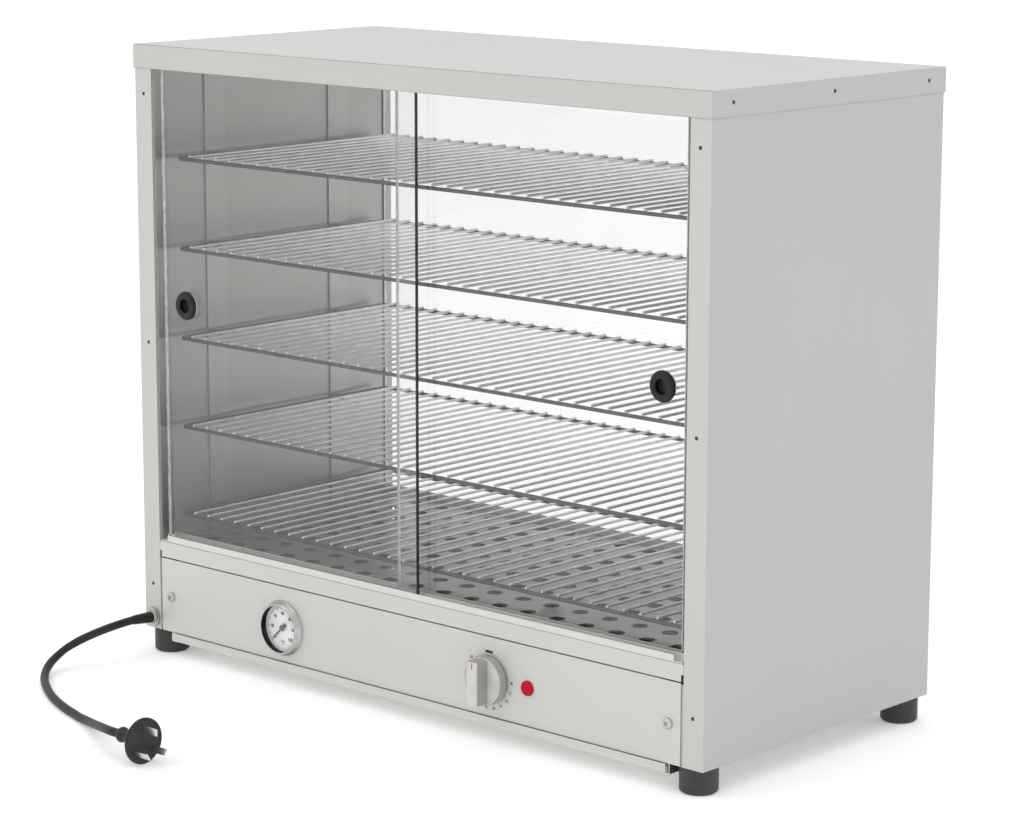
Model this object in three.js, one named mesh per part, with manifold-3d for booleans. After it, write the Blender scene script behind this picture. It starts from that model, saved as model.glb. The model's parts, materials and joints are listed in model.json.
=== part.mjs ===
// Counter-top heated pie display cabinet, in millimetres, +Z up, its front facing -Y
import * as THREE from "three";
import { mergeVertices } from "three/addons/utils/BufferGeometryUtils.js";
import Module from "manifold-3d";

// Clearances
const seatGap = 0.3;
const overrun = 2;
const overlap = 0.4;
const weldDistance = 0.0001;

// Overall size
const lidWidth = 750;
const lidDepth = 345;
const totalHeight = 630;
const lidSkirt = 24;
const lidSheet = 1;
const bodyUnderside = 25;
const bodySheet = 1;

// Side panels: a skin folded into a column at the front and at the rear
const columnWidth = 23.7;
const columnReturn = 10;

// Side liners
const linerFrontSetback = 2.8;
const linerRearSetback = 14.7;
const linerFold = 25;
const linerLowFoldHeight = 74.5;

// Inner ceiling
const ceilingDrop = 17.7;
const ceilingUpturn = 15;

// Control panel
const frontEndGap = 3;
const controlPanelBottom = 25.4;
const controlPanelHeight = 76.9;
const controlPanelFlange = 12;
const controlDrop = 1;
const screwInset = 14;
const screwHeadRadius = 5;
const screwHeadHeight = 3;
const screwShankRadius = 2;
const screwLength = 9;
const screwClearance = 0.4;

// Front sill
const sillGap = 1.2;
const shelfHeight = 120;
const shelfDepth = 27.2;
const shelfDrop = 10;
const sillReturn = 11;
const sillTabDepth = 20;
const sillTabHeight = 8;
const sillEarHeight = 10;

// Sliding door tracks
const trackSheet = 1;
const channelWidth = 7.5;
const bottomLip = 5.7;
const topLip = 15.7;
const frontLipShortfall = 9;
const stopLength = 8.7;
const stopInset = 1;

// Sliding doors
const doorOverlap = 36;
const doorLiftGap = 8.4;
const doorGlass = 4;
const frontDoorSetback = 2.2;
const rearDoorSetback = 12.2;

// Finger pulls
const pullRadius = 14.5;
const pullFaceRadius = 12.4;
const pullProud = 4;
const pullRim = 1.4;
const pullBarrelRadius = 11;
const pullCupRadius = 7;
const pullCupDepth = 6;
const leftPullInset = 34;
const rightPullInset = 25;
const leftPullHeight = 370;
const rightPullHeight = 365;

// Rear glazing and the cover below it
const paneEndGap = 0.9;
const paneGlass = 4;
const paneSetback = 10.2;
const rearCoverFold = 15;

// Rack uprights with their hooks
const uprightWidth = 28;
const uprightSheet = 1.5;
const uprightInset = 83.5;
const uprightTopGap = 6;
const hookWidth = 14;
const hookSheet = 1.5;
const hookRise = 3;

// Wire racks
const rackCount = 5;
const topRackDrop = 96.2;
const lowRackRise = 24.9;
const rackEndGap = 8.2;
const rackRod = 4.6;
const rackCorner = 8;
const wirePitch = 20;
const wireThickness = 3.6;

// Perforated floor plate
const floorSheet = 1.2;
const floorSeat = 6.5;
const holeMarginSide = 30;
const holeMarginFront = 15;
const holePitchAcross = 36.6;
const holePitchBack = 33;
const holeRadius = 7.8;

// Base pan and its opening over the crumb tray
const panSheet = 1.2;
const panOpeningInset = 31.5;
const panOpeningSetback = 101.2;
const panOpeningRearGap = 31.2;

// Feet
const footRadius = 18;
const footChamfer = 2.5;
const footInsetSide = 20.8;
const footInsetFront = 19.8;

// Crumb tray and its runners
const traySideGap = 1.5;
const trayFrontProud = 1.2;
const trayRearGap = 56.2;
const trayUnderside = 16.5;
const trayHeight = 6.4;
const traySheet = 0.8;
const trayLipBottom = 16.8;
const trayLipTop = 25;
const runnerFootGap = 2;
const runnerSheet = 1.2;
const runnerFlange = 8;
const runnerSetback = 1.2;

// Control compartment wall
const wallSetback = 61.2;
const wallFlange = 13;

// Heating element
const elementRadius = 4;
const elementHeight = 70;
const elementSideGap = 48.7;
const elementBend = 60;
const elementCentre = 35;
const elementFeedSpacing = 80;
const elementFeedBend = 20;
const elementFeedLength = 18;
const elementHoleClearance = 0.6;

// Element brackets
const bracketInset = 40;
const bracketWidth = 12;
const bracketSheet = 1.5;
const bracketDrop = 12;

// Terminal block
const terminalWidth = 60;
const terminalDepth = 20;
const terminalHeight = 20;
const terminalOffset = -230;
const terminalSetback = 21.2;

// Thermostat knob and the control behind it
const knobOffset = 114.5;
const knobDrop = 1.3;
const knobRadius = 23.7;
const knobGap = 1.2;
const knobDiscHeight = 9.2;
const knobChamfer = 1.2;
const knobReach = 23.8;
const gripWidth = 13.5;
const gripLength = 43;
const spindleRadius = 3;
const spindleClearance = 0.3;
const spindleInKnob = 9;
const spindleInBody = 19;
const controlBodyWidth = 38;
const controlBodyHeight = 34;
const controlBodyDepth = 33;
const capillaryRadius = 1.2;
const capillaryRise = 12;
const capillaryClearance = 1.8;
const capillaryRun = 14;
const capillaryBend = 10;
const bulbRadius = 3.5;
const bulbLength = 90;
const bulbHeight = 104;

// Thermometer gauge
const gaugeOffset = -166.6;
const gaugeDrop = 4;
const bezelBaseRadius = 28.2;
const bezelFrontRadius = 24.9;
const bezelBoreRadius = 24.2;
const bezelLipRadius = 23.5;
const bezelLip = 1.2;
const bezelHeight = 7.1;
const bezelBaseBand = 1;
const caseRadius = 26.1;
const caseBoreRadius = 24.9;
const caseLedgeRadius = 23;
const caseDepth = 26.2;
const caseRear = 1.5;
const caseHoleClearance = 0.75;
const dialRadius = 24.6;
const dialSheet = 0.6;
const dialHoleRadius = 1.6;
const needleLength = 18.6;
const needleTail = 6.5;
const needleRootWidth = 2.4;
const needleTailWidth = 4.4;
const needleTipWidth = 0.8;
const needleSheet = 0.6;
const needleRise = 1;
const needleTurn = 228;
const hubRadius = 3;
const hubHeight = 1.4;
const arborRadius = 1;
const arborLength = 3;
const lensSheet = 1.2;

// Pilot lamp
const lampOffset = 163.6;
const lampDrop = 0.8;
const lampRadius = 7.3;
const lampRim = 1.6;
const lampProud = 3;
const lampDomeRadius = 5.4;
const lampStemRadius = 5.2;
const lampStemLength = 9.5;
const lampClearance = 0.4;
const lampBodyRadius = 7.5;
const lampBodyLength = 24.9;
const lampBodyBore = 10;

// Cord gland
const glandInset = 12.2;
const glandHeight = 37;
const glandRadius = 10;
const glandFlange = 2.4;
const glandDomeRadius = 6.6;
const glandProud = 4.5;
const glandStemRadius = 6.2;
const glandClearance = 0.4;
const glandNutRadius = 9;
const glandNutHeight = 4.6;

// Power cord and plug
const cordRadius = 4.25;
const cordStraight = 12;
const plugFace = new THREE.Vector3(-70.5, -437.7, 21.9);
const plugTurn = 0;
const plugRadius = 21.8;
const plugEdge = 1;
const plugBodyDepth = 3;
const plugNeckDepth = 21;
const plugNeckRadius = 5.6;
const plugCollarDepth = 30.5;
const plugCollarRadius = 7.5;
const plugLength = 34;
const plugRearRadius = 6.2;
const pinLength = 17.7;
const pinRoot = 6;
const pinWidth = 6.6;
const pinSheet = 1.6;
const earthPinHeight = 11.4;
const livePinSpread = 10.4;
const livePinDrop = 9.6;
const livePinSlant = 28;

// Cord route from the gland to the floor and along it, chosen by eye
const cordRoute = [
  [-361.8, -199.4, 38.2],
  [-361.3, -221, 37.4],
  [-362.6, -237.6, 35.4],
  [-367.6, -252.1, 31.2],
  [-373.8, -265.9, 25.4],
  [-378, -280.2, 18.3],
  [-376.4, -295, 11.6],
  [-368.4, -309, 7.2],
  [-354.2, -323.6, 4.8],
  [-333.1, -339.7, 4.25],
  [-295.8, -362.1, 4.25],
  [-258.6, -378.3, 4.25],
  [-225.5, -388.9, 4.3],
  [-197.7, -398.5, 6.6],
  [-166.8, -413.9, 12.4],
  [-137.1, -429.6, 18.9],
];

// Facet counts
const fineSides = 32;
const roundSides = 20;
const smallSides = 12;
const tubeSides = 8;
const holeSides = 6;
const cornerSteps = 3;
const bendSteps = 3;
const loopSteps = 8;

// Finishes
const steelColour = "#cfcec9";
const linerColour = "#91918c";
const rackColour = "#b4b4b0";
const tintColour = "#cfd8d6";
const blackColour = "#2b2b2a";
const knobColour = "#96968f";
const chromeColour = "#c9c9c8";
const dialColour = "#e9e9e4";
const redColour = "#be0000";
const elementColour = "#4c4a47";
const brassColour = "#a89a62";

// Places worked out from the driving sizes
const halfWidth = lidWidth / 2 - lidSheet - seatGap;
const halfDepth = lidDepth / 2 - lidSheet - seatGap;
const front = -halfDepth;
const bodyTop = totalHeight - lidSheet - seatGap;
const columnEdge = halfWidth - columnWidth;
const linerOuter = columnEdge - seatGap;
const linerInner = linerOuter - bodySheet;
const innerReach = linerInner - seatGap;
const frontReach = columnEdge - frontEndGap;
const screwReach = frontReach - screwInset;
const panTop = bodyUnderside + panSheet;
const panelRear = front + bodySheet;
const behindPanel = panelRear + seatGap;
const controlPanelTop = controlPanelBottom + controlPanelHeight;
const controlLine = controlPanelBottom + controlPanelHeight / 2 - controlDrop;
const knobLine = controlLine - knobDrop;
const lampLine = controlLine - lampDrop;
const sillBottom = controlPanelTop + sillGap;
const trackFloor = shelfHeight + seatGap + trackSheet;
const trackFront = front + seatGap;
const trackPitch = channelWidth + trackSheet;
const channelRoof = bodyTop - trackSheet;
const trackRear = trackFront + 2 * trackPitch + trackSheet;
const doorReach = frontReach - stopLength - seatGap;
const doorWidth = doorReach + doorOverlap / 2;
const doorBottom = trackFloor + seatGap;
const doorTop = channelRoof - doorLiftGap;
const frontDoorFace = front + frontDoorSetback;
const rearDoorFace = front + rearDoorSetback;
const paneRear = halfDepth - paneSetback;
const paneFront = paneRear - paneGlass;
const rearChannelFront = paneFront - seatGap - trackSheet;
const rearChannelRear = paneRear + seatGap + trackSheet;
const ceilingFront = trackRear + seatGap;
const ceilingRear = rearChannelFront - seatGap;
const ceilingUnderside = bodyTop - ceilingDrop;
const linerTop = ceilingUnderside - seatGap;
const floorUnderside = shelfHeight + seatGap;
const floorTop = floorUnderside + floorSheet;
const floorReach = halfDepth - shelfDepth + floorSeat;
const holeColumns = Math.floor((2 * (innerReach - holeMarginSide)) / holePitchAcross) + 1;
const holeRows = Math.floor((2 * (floorReach - holeMarginFront)) / holePitchBack) + 1;
const rodRadius = rackRod / 2;
const rodReach = linerInner - rackEndGap - rodRadius;
const rodReachBack = floorReach - rodRadius;
const wireCount = 2 * Math.floor((rodReach - wireThickness) / wirePitch) + 1;
const topRackHeight = ceilingUnderside - topRackDrop;
const lowRackHeight = floorTop + lowRackRise;
const rackPitch = (topRackHeight - lowRackHeight) / (rackCount - 1);
const uprightOffset = halfDepth - uprightInset;
const uprightTop = ceilingUnderside - uprightTopGap;
const footSpot = [lidWidth / 2 - footInsetSide, lidDepth / 2 - footInsetFront];
const runnerWeb = footSpot[0] - footRadius - runnerFootGap - runnerSheet;
const trayReach = runnerWeb - traySideGap;
const trayFront = front - trayFrontProud;
const trayRear = halfDepth - trayRearGap;
const wallFront = front + wallSetback;
const wallRear = wallFront + bodySheet;
const bezelRear = front - seatGap;
const dialFront = front;
const knobRear = front - knobGap;
const knobFront = front - knobReach;
const gaugeLine = controlPanelBottom + controlPanelHeight / 2 - gaugeDrop;
const controlBodyRear = behindPanel + controlBodyDepth;
const rackHeights = Array.from({ length: rackCount }, (_, i) => topRackHeight - i * rackPitch);
const glandOffset = glandInset - halfWidth;
const elementReach = linerInner - elementSideGap;
const groupShift = (knobReach + halfDepth - lidDepth / 2) / 2;

const wasm = await Module();
wasm.setup();

/** Makes a closed solid of a geometry, with its shared vertices merged and its faces pointing out. */
function solidOf(geometry) {
  const bare = geometry.clone();
  bare.deleteAttribute("normal");
  bare.deleteAttribute("uv");
  const merged = mergeVertices(bare, weldDistance);
  const corners = merged.index.array;
  const kept = [];
  for (let i = 0; i < corners.length; i += 3) {
    const [a, b, c] = corners.slice(i, i + 3);
    if (a !== b && b !== c && c !== a) kept.push(a, b, c);
  }
  const vertProperties = new Float32Array(merged.attributes.position.array);
  const solid = new wasm.Manifold(
    new wasm.Mesh({ numProp: 3, vertProperties, triVerts: new Uint32Array(kept) }));
  if (solid.volume() > 0) return solid;
  return new wasm.Manifold(
    new wasm.Mesh({ numProp: 3, vertProperties, triVerts: new Uint32Array(kept.reverse()) }));
}

/** Gives a solid's vertices and triangles back as a geometry. */
function geometryOf(solid) {
  const mesh = solid.getMesh();
  const geometry = new THREE.BufferGeometry();
  geometry.setAttribute("position", new THREE.BufferAttribute(mesh.vertProperties, 3));
  geometry.setIndex(new THREE.BufferAttribute(mesh.triVerts, 1));
  return geometry;
}

/** Joins geometries into one solid. */
function join(...geometries) {
  return geometryOf(geometries.map(solidOf).reduce((whole, next) => whole.add(next)));
}

/** Cuts tools out of a geometry. */
function cut(geometry, ...tools) {
  const whole = solidOf(geometry);
  return geometryOf(tools.map(solidOf).reduce((rest, tool) => rest.subtract(tool), whole));
}

/** A box between two limits along each axis. */
function block([x0, x1], [y0, y1], [z0, z1]) {
  const box = new THREE.BoxGeometry(x1 - x0, y1 - y0, z1 - z0);
  return box.translate((x0 + x1) / 2, (y0 + y1) / 2, (z0 + z1) / 2);
}

/** The limits of a span around a middle. */
function around(middle, span) {
  return [middle - span / 2, middle + span / 2];
}

/** The limits of a span on one side of the cabinet, mirrored for side -1. */
function onSide(side, near, far) {
  return side > 0 ? [near, far] : [-far, -near];
}

const sweeps = {
  x: [[0, 1, 0], [0, 0, 1], [1, 0, 0]],
  y: [[1, 0, 0], [0, 0, 1], [0, -1, 0]],
  z: [[1, 0, 0], [0, 1, 0], [0, 0, 1]],
};

/** Extrudes a flat shape along an axis: across (y, z) for x, (x, z) for y, and (x, y) for z. */
function extrude(shape, axis, [low, high], curveSegments = smallSides) {
  const options = { depth: high - low, bevelEnabled: false, curveSegments };
  const geometry = new THREE.ExtrudeGeometry(shape, options);
  const basis = new THREE.Matrix4().makeBasis(...sweeps[axis].map((v) => new THREE.Vector3(...v)));
  geometry.applyMatrix4(basis);
  const shift = { x: [low, 0, 0], y: [0, high, 0], z: [0, 0, low] }[axis];
  return geometry.translate(...shift);
}

/** The section of a folded sheet: its outer line, with the thickness laid to the line's left. */
function foldedSection(outerLine, sheet) {
  const points = outerLine.map(([a, b]) => new THREE.Vector2(a, b));
  const normals = points.slice(1).map((point, i) => {
    const along = point.clone().sub(points[i]).normalize();
    return new THREE.Vector2(-along.y, along.x);
  });
  const innerLine = points.map((point, i) => {
    const before = normals[Math.max(i - 1, 0)];
    const after = normals[Math.min(i, normals.length - 1)];
    const mitre = before.clone().add(after).multiplyScalar(sheet / (1 + before.dot(after)));
    return point.clone().add(mitre);
  });
  return new THREE.Shape([...points, ...innerLine.reverse()]);
}

/** A regular outline of a round hole or disc. */
function ring(centreA, centreB, radius, sides) {
  const points = Array.from({ length: sides }, (_, i) => {
    const turn = (2 * Math.PI * (i + 1 / 2)) / sides;
    return new THREE.Vector2(centreA + radius * Math.cos(turn), centreB + radius * Math.sin(turn));
  });
  return new THREE.Shape(points);
}

/** A round bar along an axis. */
function bar(axis, [centreA, centreB], radius, limits, sides = roundSides) {
  return extrude(ring(centreA, centreB, radius, sides), axis, limits);
}

/** Turns a profile of [radius, y] points about a line along Y through (x, z). */
function turned(profile, [x, z], sides = fineSides) {
  const outline = profile.map(([radius, y]) => new THREE.Vector2(radius, y));
  return geometryOf(solidOf(new THREE.LatheGeometry(outline, sides))).translate(x, 0, z);
}

/** A rectangle with rounded corners. */
function roundedRectangle(halfA, halfB, radius) {
  const shape = new THREE.Shape();
  shape.absarc(halfA - radius, halfB - radius, radius, 0, Math.PI / 2);
  shape.absarc(radius - halfA, halfB - radius, radius, Math.PI / 2, Math.PI);
  shape.absarc(radius - halfA, radius - halfB, radius, Math.PI, (3 * Math.PI) / 2);
  shape.absarc(halfA - radius, radius - halfB, radius, (3 * Math.PI) / 2, 2 * Math.PI);
  return shape;
}

/** A route that passes through each of its points, with mitred corners. */
class Route extends THREE.Curve {
  constructor(points) {
    super();
    this.points = points;
  }

  getPointAt(share) {
    return this.points[Math.round(share * (this.points.length - 1))].clone();
  }

  getTangentAt(share) {
    const place = Math.round(share * (this.points.length - 1));
    const here = this.points[place];
    const before = this.points[Math.max(place - 1, 0)];
    const after = this.points[Math.min(place + 1, this.points.length - 1)];
    const arriving = here.clone().sub(before).normalize();
    const leaving = after.clone().sub(here).normalize();
    return arriving.add(leaving).normalize();
  }
}

/** A round tube along a route. */
function tube(points, radius, sides = tubeSides) {
  const route = new Route(points);
  const options = { steps: points.length - 1, extrudePath: route, bevelEnabled: false };
  return new THREE.ExtrudeGeometry(ring(0, 0, radius, sides), options);
}

/** Points on a level arc, with its angles in degrees. */
function levelArc(centreX, centreY, height, radius, from, to, steps) {
  return Array.from({ length: steps + 1 }, (_, i) => {
    const turn = THREE.MathUtils.degToRad(from + ((to - from) * i) / steps);
    const x = centreX + radius * Math.cos(turn);
    return new THREE.Vector3(x, centreY + radius * Math.sin(turn), height);
  });
}

const cabinet = new THREE.Group();
cabinet.name = "pie_display_cabinet";
cabinet.position.y = groupShift;

/** Adds a named piece with its own material. */
function addPiece(name, geometry, { colour, roughness, metalness, opacity = 1 }, parent = cabinet) {
  const material = new THREE.MeshStandardMaterial({
    color: colour,
    roughness,
    metalness,
    opacity,
    transparent: opacity < 1,
  });
  const mesh = new THREE.Mesh(geometry, material);
  mesh.name = name;
  parent.add(mesh);
  return mesh;
}

const brushedSteel = { colour: steelColour, roughness: 0.35, metalness: 0.9 };
const linerSteel = { colour: linerColour, roughness: 0.4, metalness: 0.9 };
const rackWire = { colour: rackColour, roughness: 0.25, metalness: 1 };
const clearGlass = { colour: tintColour, roughness: 0.02, metalness: 0, opacity: 0.2 };
const blackPlastic = { colour: blackColour, roughness: 0.45, metalness: 0 };
const greyPlastic = { colour: knobColour, roughness: 0.5, metalness: 0.1 };
const chrome = { colour: chromeColour, roughness: 0.12, metalness: 1 };
const whitePaint = { colour: dialColour, roughness: 0.6, metalness: 0 };
const redPlastic = { colour: redColour, roughness: 0.2, metalness: 0 };
const darkMetal = { colour: elementColour, roughness: 0.55, metalness: 0.8 };
const brass = { colour: brassColour, roughness: 0.35, metalness: 1 };

const sides = { left: -1, right: 1 };
const ends = { front: -1, rear: 1 };

// Lid
function makeLid() {
  const width = around(0, lidWidth);
  const depth = around(0, lidDepth);
  const shell = block(width, depth, [totalHeight - lidSkirt, totalHeight]);
  const inside = block(
    around(0, lidWidth - 2 * lidSheet),
    around(0, lidDepth - 2 * lidSheet),
    [totalHeight - lidSkirt - overrun, totalHeight - lidSheet]);
  return cut(shell, inside);
}

// Side panels
function makeSidePanel(side) {
  const line = [
    [columnEdge, columnReturn - halfDepth],
    [columnEdge, -halfDepth],
    [halfWidth, -halfDepth],
    [halfWidth, halfDepth],
    [columnEdge, halfDepth],
    [columnEdge, halfDepth - columnReturn],
  ];
  const mirrored = line.map(([x, y]) => [-x, y]).reverse();
  const section = foldedSection(side > 0 ? line : mirrored, bodySheet);
  const panel = extrude(section, "z", [bodyUnderside, bodyTop]);
  if (side > 0) return geometryOf(solidOf(panel));
  const glandHole = bar("y", [glandOffset, glandHeight], glandStemRadius + glandClearance,
    [front - overrun, panelRear + overrun]);
  return cut(panel, glandHole);
}

// Side liners
function makeLiner(side) {
  const skin = onSide(side, linerInner, linerOuter);
  const foldSpan = onSide(side, linerOuter - linerFold, linerOuter);
  const bottom = panTop + seatGap;
  const lowTop = bottom + linerLowFoldHeight;
  const wall = block(skin, [front + linerFrontSetback, halfDepth - linerRearSetback], [bottom, linerTop]);
  const foot = block(skin, [behindPanel, front + linerFrontSetback + overlap], [bottom, lowTop]);
  const lowFold = block(foldSpan, [behindPanel, behindPanel + bodySheet], [bottom, lowTop]);
  const topFold = block(foldSpan, [ceilingFront, ceilingRear], [linerTop - bodySheet, linerTop]);
  const screwHole = bar("y", [side * screwReach, controlLine], screwShankRadius + screwClearance,
    [front - overrun, behindPanel + overrun]);
  return cut(join(wall, foot, lowFold, topFold), screwHole);
}

// Inner ceiling
function makeCeiling() {
  const top = ceilingUnderside + ceilingUpturn;
  const line = [
    [ceilingFront, top],
    [ceilingFront, ceilingUnderside],
    [ceilingRear, ceilingUnderside],
    [ceilingRear, top],
  ];
  return extrude(foldedSection(line, bodySheet), "x", [-innerReach, innerReach]);
}

// Control panel
function makeControlPanel() {
  const face = new THREE.Shape([
    new THREE.Vector2(-frontReach, controlPanelBottom),
    new THREE.Vector2(frontReach, controlPanelBottom),
    new THREE.Vector2(frontReach, controlPanelTop),
    new THREE.Vector2(-frontReach, controlPanelTop),
  ]);
  face.holes.push(
    ring(gaugeOffset, gaugeLine, caseRadius + caseHoleClearance, fineSides),
    ring(knobOffset, knobLine, spindleRadius + spindleClearance, roundSides),
    ring(lampOffset, lampLine, lampStemRadius + lampClearance, roundSides),
    ring(-screwReach, controlLine, screwShankRadius + screwClearance, smallSides),
    ring(screwReach, controlLine, screwShankRadius + screwClearance, smallSides));
  const sheet = extrude(face, "y", [front, panelRear]);
  const foldReach = linerInner - linerFold - seatGap;
  const flange = block(
    [-foldReach, foldReach],
    [panelRear - overlap, front + controlPanelFlange],
    [controlPanelTop - bodySheet, controlPanelTop]);
  return join(sheet, flange);
}

// Front sill
function makeSill() {
  const line = [
    [front + shelfDepth, shelfHeight - shelfDrop],
    [front + shelfDepth, shelfHeight],
    [front, shelfHeight],
    [front, sillBottom],
    [front + sillReturn, sillBottom],
  ];
  const strip = extrude(foldedSection(line, bodySheet), "x", [-frontReach, frontReach]);
  const tabBack = front + shelfDepth;
  const tabs = Object.values(sides).map((side) => block(
    onSide(side, frontReach - bodySheet, innerReach),
    [tabBack - sillTabDepth, tabBack],
    [shelfHeight - sillTabHeight, shelfHeight]));
  const ears = Object.values(sides).map((side) => block(
    onSide(side, frontReach - bodySheet, columnEdge - seatGap),
    [front, panelRear],
    [shelfHeight - sillEarHeight, shelfHeight]));
  return join(strip, ...tabs, ...ears);
}

// Rear cover below the glass
function makeRearCover() {
  const bottom = panTop + seatGap;
  const line = [
    [halfDepth - rearCoverFold, bottom],
    [halfDepth, bottom],
    [halfDepth, shelfHeight],
    [halfDepth - shelfDepth, shelfHeight],
    [halfDepth - shelfDepth, shelfHeight - shelfDrop],
  ];
  const strip = extrude(foldedSection(line, bodySheet), "x", [-frontReach, frontReach]);
  const tabFront = halfDepth - shelfDepth;
  const tabs = Object.values(sides).map((side) => block(
    onSide(side, frontReach - bodySheet, innerReach),
    [tabFront, tabFront + sillTabHeight],
    [shelfHeight - sillTabHeight, shelfHeight]));
  return join(strip, ...tabs);
}

// Base pan
function makeBasePan() {
  const outerX = halfWidth - bodySheet - seatGap;
  const outerY = halfDepth - bodySheet - seatGap;
  const slotStart = columnEdge - seatGap;
  const slotEnd = columnEdge + bodySheet + seatGap;
  const slotY = halfDepth - columnReturn - seatGap;
  const corner = [[slotStart, outerY], [slotStart, slotY], [slotEnd, slotY], [slotEnd, outerY], [outerX, outerY]];
  const outline = [
    ...corner.map(([x, y]) => [x, y]).reverse(),
    ...corner.map(([x, y]) => [-x, y]),
    ...corner.map(([x, y]) => [-x, -y]).reverse(),
    ...corner.map(([x, y]) => [x, -y]),
  ];
  const plate = new THREE.Shape(outline.map(([x, y]) => new THREE.Vector2(x, y)));
  const reach = trayReach - panOpeningInset;
  const openingFront = front + panOpeningSetback;
  const openingRear = halfDepth - panOpeningRearGap;
  plate.holes.push(new THREE.Shape([
    new THREE.Vector2(-reach, openingFront),
    new THREE.Vector2(reach, openingFront),
    new THREE.Vector2(reach, openingRear),
    new THREE.Vector2(-reach, openingRear),
  ]));
  return extrude(plate, "z", [bodyUnderside, panTop]);
}

// Perforated floor plate
function makeFloorPlate() {
  const plate = new THREE.Shape([
    new THREE.Vector2(-innerReach, -floorReach),
    new THREE.Vector2(innerReach, -floorReach),
    new THREE.Vector2(innerReach, floorReach),
    new THREE.Vector2(-innerReach, floorReach),
  ]);
  for (let column = 0; column < holeColumns; column += 1) {
    for (let row = 0; row < holeRows; row += 1) {
      const x = (column - (holeColumns - 1) / 2) * holePitchAcross;
      const y = (row - (holeRows - 1) / 2) * holePitchBack;
      plate.holes.push(ring(x, y, holeRadius, holeSides));
    }
  }
  return extrude(plate, "z", [floorUnderside, floorTop]);
}

// Control compartment wall
function makeControlWall() {
  const bottom = panTop + seatGap;
  const top = floorUnderside - seatGap;
  const line = [
    [wallRear - wallFlange, bottom],
    [wallRear, bottom],
    [wallRear, top],
    [wallRear - wallFlange, top],
  ];
  const sheet = extrude(foldedSection(line, bodySheet), "x", [-innerReach, innerReach]);
  const through = [wallFront - overrun, wallRear + overrun];
  const feeds = Object.values(sides).map((side) => bar(
    "y", [(side * elementFeedSpacing) / 2, elementHeight], elementRadius + elementHoleClearance, through));
  const capillary = bar(
    "y", [knobOffset, knobLine + capillaryRise], capillaryRadius + capillaryClearance, through);
  return cut(sheet, ...feeds, capillary);
}

// Sliding door tracks
function makeBottomTrack() {
  const baseHeight = [trackFloor - trackSheet, trackFloor];
  const base = block([-innerReach, innerReach], [trackFront, trackRear], baseHeight);
  const lipHeight = [trackFloor - overlap, trackFloor + bottomLip];
  const lips = [0, 1, 2].map((i) => {
    const reach = i === 0 ? frontReach - frontLipShortfall : frontReach;
    const lipFront = trackFront + i * trackPitch;
    return block([-reach, reach], [lipFront, lipFront + trackSheet], lipHeight);
  });
  return join(base, ...lips);
}

function makeTopTrack() {
  const top = bodyTop;
  const bottom = top - trackSheet - topLip;
  const base = block([-innerReach, innerReach], [trackFront, trackRear], [top - trackSheet, top]);
  const lips = [0, 1, 2].map((i) => {
    const lipFront = trackFront + i * trackPitch;
    const lipHeight = [bottom, top - trackSheet + overlap];
    return block([-frontReach, frontReach], [lipFront, lipFront + trackSheet], lipHeight);
  });
  const stops = Object.values(sides).map((side) => block(
    onSide(side, frontReach - stopLength, frontReach - stopInset),
    [trackFront + overlap, trackRear - overlap],
    [bottom + stopInset, top - overlap]));
  return join(base, ...lips, ...stops);
}

function makeRearChannel(floor, lip) {
  const [near, far] = [Math.min(floor, lip), Math.max(floor, lip)];
  const up = lip > floor;
  const base = up ? [floor - trackSheet, floor] : [floor, floor + trackSheet];
  const reach = [-innerReach, innerReach];
  const lipSpan = up ? [near - overlap, far] : [near, far + overlap];
  const lipFronts = [rearChannelFront, rearChannelRear - trackSheet];
  const lips = lipFronts.map((y) => block(reach, [y, y + trackSheet], lipSpan));
  return join(block(reach, [rearChannelFront, rearChannelRear], base), ...lips);
}

// Sliding doors with their finger pulls
function makeDoor(side, face, inset, height) {
  const [x0, x1] = onSide(side, doorReach - doorWidth, doorReach);
  const pane = new THREE.Shape([
    new THREE.Vector2(x0, doorBottom),
    new THREE.Vector2(x1, doorBottom),
    new THREE.Vector2(x1, doorTop),
    new THREE.Vector2(x0, doorTop),
  ]);
  pane.holes.push(ring(side * (doorReach - inset), height, pullBarrelRadius + seatGap, fineSides));
  return extrude(pane, "y", [face, face + doorGlass]);
}

function makePull(side, face, inset, height) {
  const profile = [
    [0, face + doorGlass],
    [pullBarrelRadius, face + doorGlass],
    [pullBarrelRadius, face - seatGap],
    [pullRadius, face - seatGap],
    [pullRadius, face - seatGap - pullRim],
    [pullFaceRadius, face - pullProud],
    [pullCupRadius, face - pullProud],
    [pullCupRadius, face - pullProud + pullCupDepth],
    [0, face - pullProud + pullCupDepth],
  ];
  return turned(profile, [side * (doorReach - inset), height]);
}

// Rack uprights
function makeUpright(side, end) {
  const outer = linerInner - seatGap;
  const inner = outer - uprightSheet;
  const middle = end * uprightOffset;
  const stripHeight = [floorTop + seatGap, uprightTop];
  const strip = block(onSide(side, inner, outer), around(middle, uprightWidth), stripHeight);
  const tipOuter = rodReach - rodRadius - seatGap;
  const hooks = rackHeights.flatMap((height) => {
    const top = height - rodRadius - seatGap;
    const span = around(middle, hookWidth);
    return [
      block(onSide(side, tipOuter - hookSheet, inner + overlap), span, [top - hookSheet, top]),
      block(onSide(side, tipOuter - hookSheet, tipOuter), span, [top - overlap, top + hookRise]),
    ];
  });
  return join(strip, ...hooks);
}

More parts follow.
